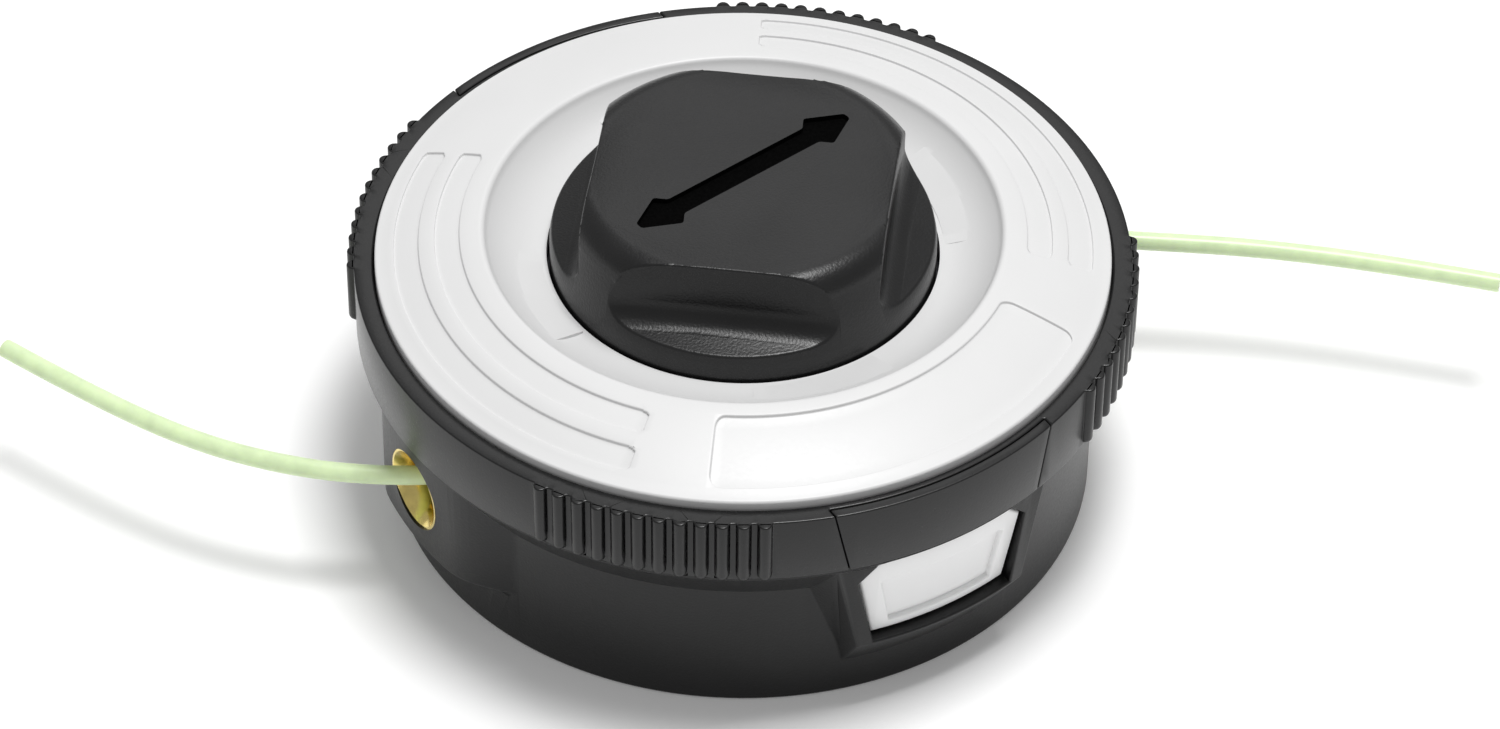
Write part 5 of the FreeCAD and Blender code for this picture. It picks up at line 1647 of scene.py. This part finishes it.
class TRIMMER_OT_lines(bpy.types.Operator):
    """Lay the cut line that leaves each eyelet"""
    bl_idname = "trimmer.lines"
    bl_label = "Cut line"

    def execute(self, context):
        scene = context.scene
        diameter = scene.trimmer_line.diameter
        nylon = nylon_line(scene.trimmer_finish.line)
        lines = (("left", LEFT_ROUTE, LEFT_LENGTH), ("right", RIGHT_ROUTE, RIGHT_LENGTH))
        for side, route, length in lines:
            piece = cut_line("cut_line_" + side, route, diameter)
            finished(piece, "head", "trimmer_line", nylon, "line_" + side)
        return {"FINISHED"}


# Studio

def studio_camera(context, studio):
    """Camera at the photograph's angle."""
    bpy.ops.object.select_all(action="DESELECT")
    aim = Vector(studio.aim)
    level = math.cos(studio.elevation)
    out = Vector((
        math.sin(studio.azimuth) * level,
        -math.cos(studio.azimuth) * level,
        math.sin(studio.elevation),
    ))
    bpy.ops.object.camera_add(location=aim + out * studio.distance)
    camera = bpy.context.object
    facing = (-out).to_track_quat("-Z", "Y").to_matrix()
    camera.rotation_euler = (facing @ Matrix.Rotation(studio.roll, 3, "Z")).to_euler()
    camera.data.sensor_width = studio.sensor
    camera.data.lens = studio.lens
    context.scene.camera = camera


def softbox(name, location, aim, side, power):
    """Square area light that faces a point."""
    bpy.ops.object.select_all(action="DESELECT")
    bpy.ops.object.light_add(type="AREA", location=location)
    light = bpy.context.object
    light.name = name
    light.data.size = side
    light.data.energy = power
    light.rotation_euler = (Vector(aim) - Vector(location)).to_track_quat("-Z", "Y").to_euler()


class TRIMMER_OT_studio(bpy.types.Operator):
    """Set up the floor, light and camera"""
    bl_idname = "trimmer.studio"
    bl_label = "Studio"

    def execute(self, context):
        scene = context.scene
        studio = scene.trimmer_studio
        bpy.ops.object.select_all(action="DESELECT")
        bpy.ops.mesh.primitive_plane_add(size=studio.floor_size)
        floor = bpy.context.object
        floor.name = "studio_floor"
        floor.data.materials.append(studio_floor(scene.trimmer_finish.floor, studio.floor_glow))
        sky = bpy.data.worlds.new("studio_sky")
        sky.use_nodes = True
        sky.node_tree.nodes["Background"].inputs["Color"].default_value = (1.0, 1.0, 1.0, 1.0)
        sky.node_tree.nodes["Background"].inputs["Strength"].default_value = studio.sky
        scene.world = sky
        scene.view_settings.view_transform = "Standard"
        softbox("top_softbox", studio.top_place, studio.aim, studio.top_side, studio.top_power)
        softbox("back_softbox", studio.back_place, studio.aim, studio.back_side, studio.back_power)
        studio_camera(context, studio)
        return {"FINISHED"}


OPERATORS = (
    TRIMMER_OT_lines,
    TRIMMER_OT_housing,
    TRIMMER_OT_cover_ring,
    TRIMMER_OT_cover_disc,
    TRIMMER_OT_knob,
    TRIMMER_OT_latches,
    TRIMMER_OT_eyelets,
    TRIMMER_OT_springs,
    TRIMMER_OT_inner_pieces,
    TRIMMER_OT_studio,
)


class TRIMMER_PT_sidebar(bpy.types.Panel):
    """Pieces of the trimmer head"""
    bl_idname = "TRIMMER_PT_sidebar"
    bl_label = "Trimmer Head"
    bl_space_type = "VIEW_3D"
    bl_region_type = "UI"
    bl_category = "Trimmer Head"

    def draw(self, context):
        for operator in OPERATORS:
            self.layout.operator(operator.bl_idname)


def register():
    """Registers the properties, operators and panel."""
    for name, group in PROPERTY_GROUPS.items():
        bpy.utils.register_class(group)
        setattr(bpy.types.Scene, name, bpy.props.PointerProperty(type=group))
    for operator in OPERATORS:
        bpy.utils.register_class(operator)
    bpy.utils.register_class(TRIMMER_PT_sidebar)


def unregister():
    """Removes what register added."""
    bpy.utils.unregister_class(TRIMMER_PT_sidebar)
    for operator in reversed(OPERATORS):
        bpy.utils.unregister_class(operator)
    for name, group in PROPERTY_GROUPS.items():
        delattr(bpy.types.Scene, name)
        bpy.utils.unregister_class(group)


def main():
    """Builds every piece in order."""
    register()
    bpy.ops.trimmer.studio()
    bpy.ops.trimmer.lines()
    bpy.ops.trimmer.housing()
    bpy.ops.trimmer.cover_ring()
    bpy.ops.trimmer.cover_disc()
    bpy.ops.trimmer.knob()
    bpy.ops.trimmer.latches()
    bpy.ops.trimmer.eyelets()
    bpy.ops.trimmer.springs()
    bpy.ops.trimmer.inner_pieces()


if __name__ == "__main__":
    main()
